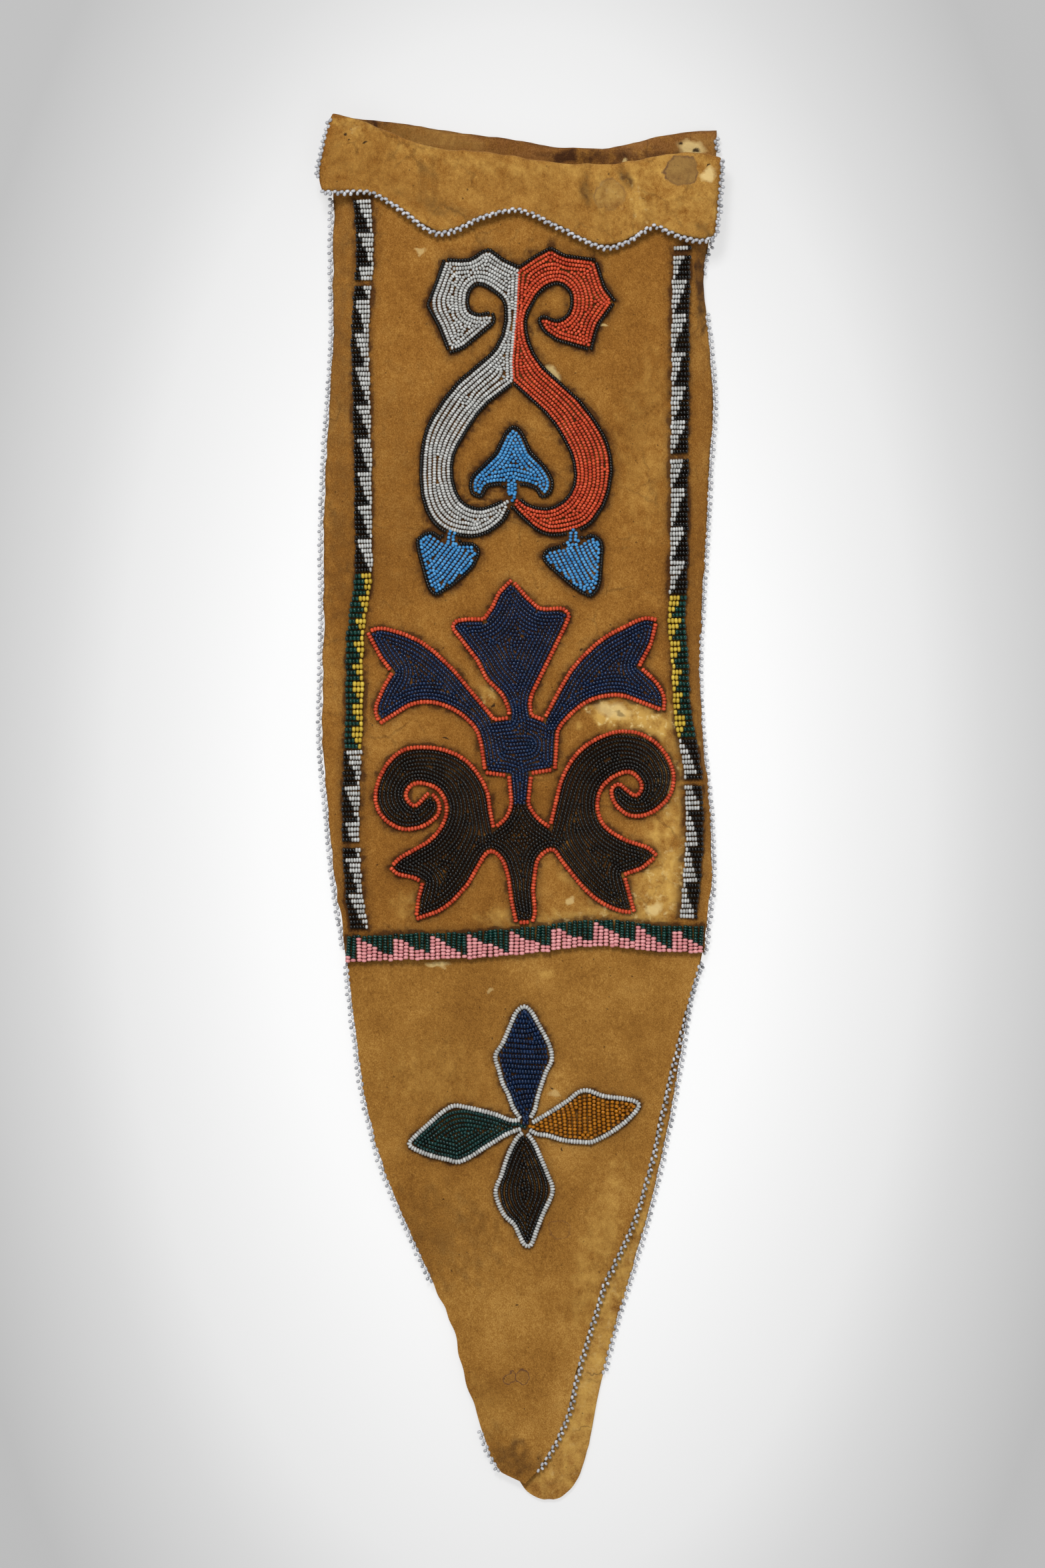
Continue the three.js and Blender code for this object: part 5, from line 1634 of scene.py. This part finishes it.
@dataclass
class Hide:
    """One hide of the bag, drawn from its solid.

    Attributes:
        node: the CAD node that it stands for.
        finish: its surface.
        slot: the record's slot for that surface.
        levels: times that its faces are divided.
        halo: how dark the painted shade and soil round the beads are.
        shade: how much painted shade darkens it under them.
        slack: how far the hide is stretched here and there.
        marks: patches of wear, soil and stains, and of painted shade and light along creases.
    """

    node: str
    finish: HideFinish
    slot: str
    levels: int = 2
    halo: float = 0.34
    shade: float = 0.8
    slack: float = 0.16
    marks: tuple[Patch, ...] = ()
    fray: Ripple = field(default_factory=lambda: Ripple(11, 6.0))
    stretch: tuple[Ripple, Ripple] = field(default_factory=lambda: (Ripple(12, 9.0), Ripple(13, 9.0)))
    beads: list[tuple[float, float, float]] = field(default_factory=list)

    def blank(self) -> bpy.types.Object:
        """Copies the solid, squares its faces, holds its edges and smooths the rest.

        Returns:
            The new skin.
        """
        bpy.ops.object.select_all(action="DESELECT")
        skin = add_object(f"{self.node}.skin", frame["nodes"][self.node].data.copy())
        bpy.context.view_layer.objects.active = skin
        skin.select_set(True)
        bpy.ops.object.mode_set(mode="EDIT")
        bpy.ops.mesh.select_mode(type="EDGE")
        bpy.ops.mesh.select_all(action="SELECT")
        bpy.ops.mesh.remove_doubles(threshold=0.001 * MM)
        bpy.ops.mesh.tris_convert_to_quads(face_threshold=math.pi, shape_threshold=math.pi)
        for y in self.cuts():
            bpy.ops.mesh.select_all(action="SELECT")
            bpy.ops.mesh.bisect(plane_co=(0, y * MM, 0), plane_no=(0, 1, 0))
        bpy.ops.mesh.select_all(action="DESELECT")
        bpy.ops.mesh.edges_select_sharp(sharpness=math.radians(55))
        bpy.ops.transform.edge_crease(value=1.0)
        bpy.ops.object.mode_set(mode="OBJECT")
        smooth = skin.modifiers.new("smooth", "SUBSURF")
        smooth.levels = smooth.render_levels = self.levels
        bpy.ops.object.modifier_apply(modifier=smooth.name)
        bpy.ops.object.shade_smooth_by_angle(angle=math.radians(FOLD_ANGLE))
        return skin

    def cuts(self) -> list[float]:
        """Places along the bag where the solid gets a further row of faces."""
        return []

    def lay(self, spots: np.ndarray) -> np.ndarray:
        """Moves the hide's points to how it lies, a little unevenly cut and stretched.

        Args:
            spots: rows of the points' places on the solid.

        Returns:
            Rows of their new places.
        """
        laid = spots.copy()
        for k, ripple in enumerate(self.stretch):
            laid[:, k] += self.slack * ripple.at(spots[:, 0], spots[:, 1])
        return laid

    def build(self) -> bpy.types.Object:
        """Makes the hide, lays it, marks it and sets it in the frame.

        Returns:
            The finished skin.
        """
        skin = self.blank()
        spots = spots_of(skin.data)
        set_spots(skin.data, self.lay(spots))
        self.mark(skin.data, spots)
        return dress(skin, self.finish.material(), self.slot, self.node)

    def mark(self, mesh: bpy.types.Mesh, spots: np.ndarray) -> None:
        """Keeps each kind of mark as a number for each vertex.

        Args:
            mesh: the skin's mesh.
            spots: rows of the points' places on the solid.
        """
        x, y = spots[:, 0], spots[:, 1]
        fray = self.fray.at(x, y)
        for mark in Mark:
            amount = self.ground_mark(mark, spots)
            for patch in self.marks:
                if patch.mark is mark:
                    amount = np.maximum(amount, patch.at(x, y, fray))
            add_values(mesh, mark.value, amount)

    def ground_mark(self, mark: Mark, spots: np.ndarray) -> np.ndarray:
        """Mark that the whole hide carries: painted shade and soil close to the beads.

        Args:
            mark: the kind of mark.
            spots: rows of the vertices' places.

        Returns:
            Its amount at each vertex.
        """
        amount = np.zeros(len(spots))
        if mark is Mark.SOIL and self.beads:
            tree = near_tree(self.beads)
            away = np.array([tree.find(spot)[2] for spot in spots])
            # Painted shade and soil in a halo round the beads, and stronger painted shade under them
            amount = self.halo * smooth_step(away, 5.5, 1.6) + self.shade * smooth_step(away, 2.2, 1.3)
        return amount


@dataclass
class FrontHide(Hide):
    """Front panel and the cuff that it folds into at the mouth.

    Attributes:
        lie: its relief.
        row_gap: distance between its rows of faces.
        cuff_rise: heights over the panel between which the cuff begins.
        pale: wear of the whole cuff, and how much more there is on its right.
        pale_from: places across the bag between which that begins.
    """

    lie: Lie | None = None
    row_gap: float = 7.0
    cuff_rise: tuple[float, float] = (0.3, 2.0)
    pale: tuple[float, float] = (0.14, 0.18)
    pale_from: tuple[float, float] = (20, 60)

    def cuts(self) -> list[float]:
        """Rows along the panel, from the band to the cuff."""
        seam = triangles_of("left_seam_beads")[:, :, 1]
        return list(np.arange(seam.min(), seam.max() - 30, self.row_gap))

    def on_cuff(self, spots: np.ndarray) -> np.ndarray:
        """Tells the cuff (1) from the panel under it (0) by height."""
        level = Ground("scroll_white_field").level
        return smooth_step(spots[:, 2] - level[0] - level[1] * spots[:, 1], *self.cuff_rise)

    def lay(self, spots: np.ndarray) -> np.ndarray:
        """Gives the panel its low relief and the cuff its waves and creases.

        Args:
            spots: rows of the points' places on the solid.

        Returns:
            Rows of their new places.
        """
        x, y, _ = spots.T
        share = self.on_cuff(spots)
        laid = super().lay(spots)
        laid[:, 2] += (1 - share) * self.lie.relief(Layer.PANEL, x, y) + share * self.lie.relief(Layer.CUFF, x, y)
        return laid

    def ground_mark(self, mark: Mark, spots: np.ndarray) -> np.ndarray:
        """Marks the cuff as paler than the panel, most of all on its right.

        Args:
            mark: the kind of mark.
            spots: rows of the vertices' places.

        Returns:
            Amount at each vertex.
        """
        amount = super().ground_mark(mark, spots)
        if mark is Mark.WEAR:
            return self.on_cuff(spots) * (self.pale[0] + self.pale[1] * smooth_step(spots[:, 0], *self.pale_from))
        return amount


@dataclass
class BackHide(Hide):
    """Back panel with its tail and the plain cuff turned under at the mouth.

    Attributes:
        inner_foot: where the inside of the mouth begins to show.
        inner_floor: height over which the hide is the inside of the mouth.
        row_gap: distance between rows of faces there.
        turned_foot: foot of the turned-under cuff.
        turned_top: height that the turned-under cuff stays below.
        drawn_from: place across the bag from which its left edge is drawn in.
        left_edge: places along that edge, and how far to the left it is there.
        rim_soil: soil on the rim of the mouth.
    """

    inner_foot: float = 222.0
    inner_floor: float = 2.6
    row_gap: float = 3.0
    turned_foot: float = 244.0
    turned_top: float = 1.75
    drawn_from: float = -66.0
    left_edge: tuple[tuple[float, float], tuple[float, float]] = ((244.6, 283.6), (-79.6, -75.8))
    rim_soil: float = 0.35

    def cuts(self) -> list[float]:
        """Rows inside the mouth, where the marks are fine."""
        return list(np.arange(self.inner_foot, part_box(self.node)[1][1] / MM, self.row_gap))

    def lay(self, spots: np.ndarray) -> np.ndarray:
        """Draws the left edge of the turned-under cuff in, so that it stays out of sight from above.

        Args:
            spots: rows of the points' places on the solid.

        Returns:
            Rows of their new places.
        """
        laid = super().lay(spots)
        x, y, z = spots.T
        edge = np.interp(y, *self.left_edge)
        turned = (y > self.turned_foot) & (z < self.turned_top) & (x < self.drawn_from)
        share = (self.drawn_from - x) / (self.drawn_from - edge)
        laid[:, 0] += turned * (self.left_edge[1][1] - edge) * share
        return laid

    def ground_mark(self, mark: Mark, spots: np.ndarray) -> np.ndarray:
        """Paints shade inside the mouth, and marks the soil on its rim.

        Args:
            mark: the kind of mark.
            spots: rows of the vertices' places.

        Returns:
            Amount at each vertex.
        """
        x, y, z = spots.T
        # Painted shade inside the mouth
        if mark is Mark.INNER:
            return smooth_step(y, self.inner_foot, self.inner_foot + 14) * (z > self.inner_floor)
        if mark is Mark.SOIL:
            column = np.round(x / 4).astype(int)
            column -= column.min()
            rim = np.zeros(column.max() + 1)
            np.maximum.at(rim, column, y)
            return self.rim_soil * smooth_step(rim[column] - y, 1.8, 0.3) * (y > self.inner_foot)
        return super().ground_mark(mark, spots)


@dataclass
class FrontTail(Hide):
    """Front tail, a single hide below the band."""

    lie: Lie | None = None
    columns: int = 84
    rows: int = 150

    def blank(self) -> bpy.types.Object:
        """Draws a grid to the tail's outline and gives it the hide's thickness.

        Returns:
            The new skin.
        """
        low, high = (np.array(corner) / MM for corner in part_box(self.node))
        bpy.ops.object.select_all(action="DESELECT")
        bpy.ops.mesh.primitive_grid_add(x_subdivisions=self.columns, y_subdivisions=self.rows, size=2)
        skin = bpy.context.active_object
        skin.name = skin.data.name = f"{self.node}.skin"
        share = spots_of(skin.data) * MM / 2 + 0.5
        left, right = self.sides()
        y = low[1] + share[:, 1] * (high[1] - low[1])
        start, end = (np.interp(y, side[:, 1], side[:, 0]) for side in (left, right))
        set_spots(skin.data, np.column_stack([start + share[:, 0] * (end - start), y, np.full(len(y), high[2])]))
        wall = skin.modifiers.new("hide", "SOLIDIFY")
        wall.thickness = (high[2] - low[2]) * MM
        wall.offset = -1
        bpy.ops.object.modifier_apply(modifier=wall.name)
        bpy.ops.object.shade_smooth_by_angle(angle=math.radians(FOLD_ANGLE))
        return skin

    def sides(self) -> tuple[np.ndarray, np.ndarray]:
        """Draws smooth lines through the corners on the tail's two sides, from its tip up.

        Returns:
            Rows of places on the left and on the right.
        """
        loop = max(Ground(self.node).loops, key=len)
        loop = loop[np.argsort(loop[:, 1])]
        tip = loop[0]
        middle = np.interp(loop[:, 1], [tip[1], loop[-1, 1]], [tip[0], loop[:, 0].mean()])
        sides = []
        for sign in (-1, 1):
            side = loop[1:][sign * (loop[1:, 0] - middle[1:]) > 0]
            sides.append(spline(np.vstack([tip, side])))
        return sides[0], sides[1]

    def lay(self, spots: np.ndarray) -> np.ndarray:
        """Gives the tail its low relief.

        Args:
            spots: rows of the points' places on the solid.

        Returns:
            Rows of their new places.
        """
        laid = super().lay(spots)
        laid[:, 2] += self.lie.relief(Layer.TAIL, spots[:, 0], spots[:, 1])
        return laid


PANEL_MARKS = marks_from(Patch, {
    Mark.WEAR: (
        (48, 37, 19, 8, 0.8, -10), (62, 12, 6, 24, 0.5), (60, -26, 11, 20, 0.58), (48, -40, 20, 8, 0.6, 8),
        (20, -46, 20, 4, 0.5), (-8, -45, 8, 4, 0.35), (23, -28, 5, 8, 0.35, 30), (-44, -40, 7, 5, 0.3),
        (-14, 46, 7, 4, 0.55, 45), (28, 60, 8, 3, 0.35, 45), (38, 252, 9, 8, 0.4), (20, 262, 34, 3.5, 0.3),
        # (48.6, 250) pales the ridge of the cuff's main crease with painted light
        (-30, 268, 30, 3, 0.3, -12), (-68, 280, 8, 4, 0.4), (48.6, 250, 3.4, 11, 0.5, 10), (54, 150, 12, 36, 0.12),
    ),
    Mark.SOIL: (
        # The first four darken the furrows of the cuff's creases with painted shade
        (43.4, 259.6, 2.0, 7, 0.7, 20), (27.4, 254, 2.4, 7, 0.55, 2), (-39.2, 258, 1.8, 10, 0.3, 2),
        (-34.9, 257, 1.8, 9, 0.3), (-73, 150, 6, 90, 0.3), (-52, 130, 14, 50, 0.16), (76, 218, 4, 20, 0.7),
        (-30, 246, 18, 3, 0.35, -18),
    ),
})
TAIL_MARKS = marks_from(Patch, {
    Mark.WEAR: (
        (12, -68, 3, 1.5, 0.5), (-13, -246, 8, 14, 0.07, 30), (32, -182, 7, 34, 0.24, -15), (-34, -110, 18, 14, 0.1),
    ),
    Mark.SOIL: ((-32, -176, 24, 18, 0.24, -15), (-1, -269, 13, 7, 0.5, -20), (-12, -262, 7, 9, 0.3, 30)),
})
BACK_MARKS = marks_from(Patch, {
    Mark.SOIL: ((-60, 283, 6, 2.5, 1.0, -10), (22, 269, 9, 3, 0.9), (46, 268, 22, 4, 0.5, 3)),
    Mark.WEAR: ((74, 273, 8, 5, 0.15), (-40, 277, 26, 4, 0.2, -8), (35, -215, 11, 80, 0.42, -18)),
})
CUFF_CREASES = (
    Crease((41.5, 265), (45.5, 254), -1.2, 2.2), Crease((46.0, 263), (50.0, 242), 1.6, 3.0),
    Crease((56, 262), (58, 246), -0.7, 2.6), Crease((61, 259), (66, 246), 0.6, 2.4),
    Crease((27, 261), (27.8, 246), -0.8, 2.0), Crease((31, 262), (33, 246), 0.8, 2.2),
    Crease((-39.5, 268), (-38.8, 250), -0.8, 1.6), Crease((-37.0, 268), (-36.2, 246), 0.8, 1.7),
    Crease((-34.6, 266), (-35.0, 248), -0.7, 1.6),
)


@dataclass
class Studio:
    """Pale floor, soft light and the camera straight above.

    Attributes:
        pixel: size of one pixel of the picture on the floor, in millimetres.
        image: the picture's width and height in pixels.
        middle: pixel under which the frame's origin lies.
        lens: focal length, for a frame of 36 mm along its long side.
        oval: half width and half length, in metres, of the painted pool of light on the floor.
        glow: share of the floor's own light in what is seen of it.
        sky: strength of the sky, and its strength as mirrored in glass.
    """

    pixel: float = 0.275
    image: tuple[int, int] = (1568, 2352)
    middle: tuple[float, float] = (778.9, 1213.4)
    lens: float = 150.0
    sensor: float = 36.0
    oval: tuple[float, float] = (0.25, 0.48)
    glow: float = 0.75
    sky: tuple[float, float] = (0.45, 0.08)

    def camera(self) -> None:
        """Hangs the camera over the bag."""
        lens = bpy.data.cameras.new("camera")
        lens.lens = self.lens
        lens.sensor_width = self.sensor
        eye = add_object("camera", lens)
        high = self.image[1] * self.pixel * self.lens / self.sensor
        eye.location = (
            (self.image[0] / 2 - self.middle[0]) * self.pixel * MM,
            (self.middle[1] - self.image[1] / 2) * self.pixel * MM,
            high * MM,
        )
        bpy.context.scene.camera = eye

    def floor(self) -> None:
        """Lays a floor with a painted pool of light: white under the bag and greyer towards the corners."""
        bpy.ops.object.select_all(action="DESELECT")
        bpy.ops.mesh.primitive_plane_add(size=8)
        floor = bpy.context.active_object
        floor.name = "floor"
        material, tree = new_tree("paper_floor")
        node = partial(add_node, tree)
        place = node("TexCoord", {}, "Object")
        oval = node("Mapping", {"Vector": place, "Scale": (1 / self.oval[0], 1 / self.oval[1], 0)})
        away = node("VectorMath", {0: oval}, "Value", operation="LENGTH")
        # Painted pool of light: white in the middle, greyer towards the corners
        greys = ((0.3, "#FDFDFD"), (0.42, "#F9F9F9"), (0.67, "#E8E8E8"), (0.78, "#D8D8D8"), (1.0, "#BDBDBD"))
        tone = node("ValToRGB", {"Fac": away}, stops=greys)
        paper = node("BsdfDiffuse", {"Color": tone})
        glow = node("Emission", {"Color": tone, "Strength": 1.0})
        seen = node("LightPath", {}, "Is Camera Ray")
        for other in ("Is Glossy Ray", "Is Transmission Ray"):
            seen = node("Math", {0: seen, 1: node("LightPath", {}, other)}, operation="MAXIMUM")
        share = node("Math", {0: seen, 1: self.glow}, operation="MULTIPLY")
        node("OutputMaterial", {"Surface": node("MixShader", {0: share, 1: paper, 2: glow})})
        floor.data.materials.append(material)

    def light(self) -> None:
        """Sets a large soft lamp over the head of the bag, a weaker one over its foot, and an even sky."""
        lamps = (("key", (-0.28, 1.0, 1.45), 0.5, 21.0), ("fill", (0.5, -1.1, 1.5), 1.2, 6.0))
        for name, place, size, power in lamps:
            lamp = bpy.data.lights.new(name, "AREA")
            lamp.size = size
            lamp.energy = power
            holder = add_object(name, lamp)
            holder.location = place
            holder.rotation_euler = (-Vector(place)).to_track_quat("-Z", "Y").to_euler()
        world = bpy.data.worlds.new("studio")
        bpy.context.scene.world = world
        world.use_nodes = True
        tree = world.node_tree
        mirrored = add_node(tree, "LightPath", {}, "Is Glossy Ray")
        strength = add_node(tree, "MapRange", {0: mirrored, 3: self.sky[0], 4: self.sky[1]})
        tree.nodes["Background"].inputs["Color"].default_value = (1, 1, 1, 1)
        tree.links.new(strength, tree.nodes["Background"].inputs["Strength"])


def main() -> None:
    """Builds the bag piece by piece."""
    logging.basicConfig(level=logging.INFO, format="%(name)s %(message)s")
    bpy.context.scene.view_settings.view_transform = "Standard"
    studio = Studio()
    studio.camera()
    lie = Lie(CUFF_CREASES)
    bead = SeedBead()
    beadwork = Beadwork(bead, Needle(lie))
    beadwork.figures()
    for rows in ROWS:
        beadwork.rows(rows)
    for edging in EDGINGS:
        edging.build(bead, lie)
    front = FrontHide(
        "front_hide", PANEL_HIDE, "panel_hide", marks=PANEL_MARKS, beads=beadwork.centres, lie=lie
    ).build()
    back = BackHide("back_hide", BACK_HIDE, "back_hide", marks=BACK_MARKS).build()
    tail = FrontTail(
        "front_tail", TAIL_HIDE, "tail_hide", halo=0.22, marks=TAIL_MARKS, beads=beadwork.centres, lie=lie
    ).build()
    studio.floor()
    studio.light()
    pieces = [piece for piece in bpy.data.objects if piece.name.endswith((".strung", ".skin"))]
    total = sum(len(face.vertices) - 2 for piece in pieces for face in piece.data.polygons)
    LOG.info("%d pieces, %d triangles", len(pieces), total)


if __name__ == "__main__":
    main()
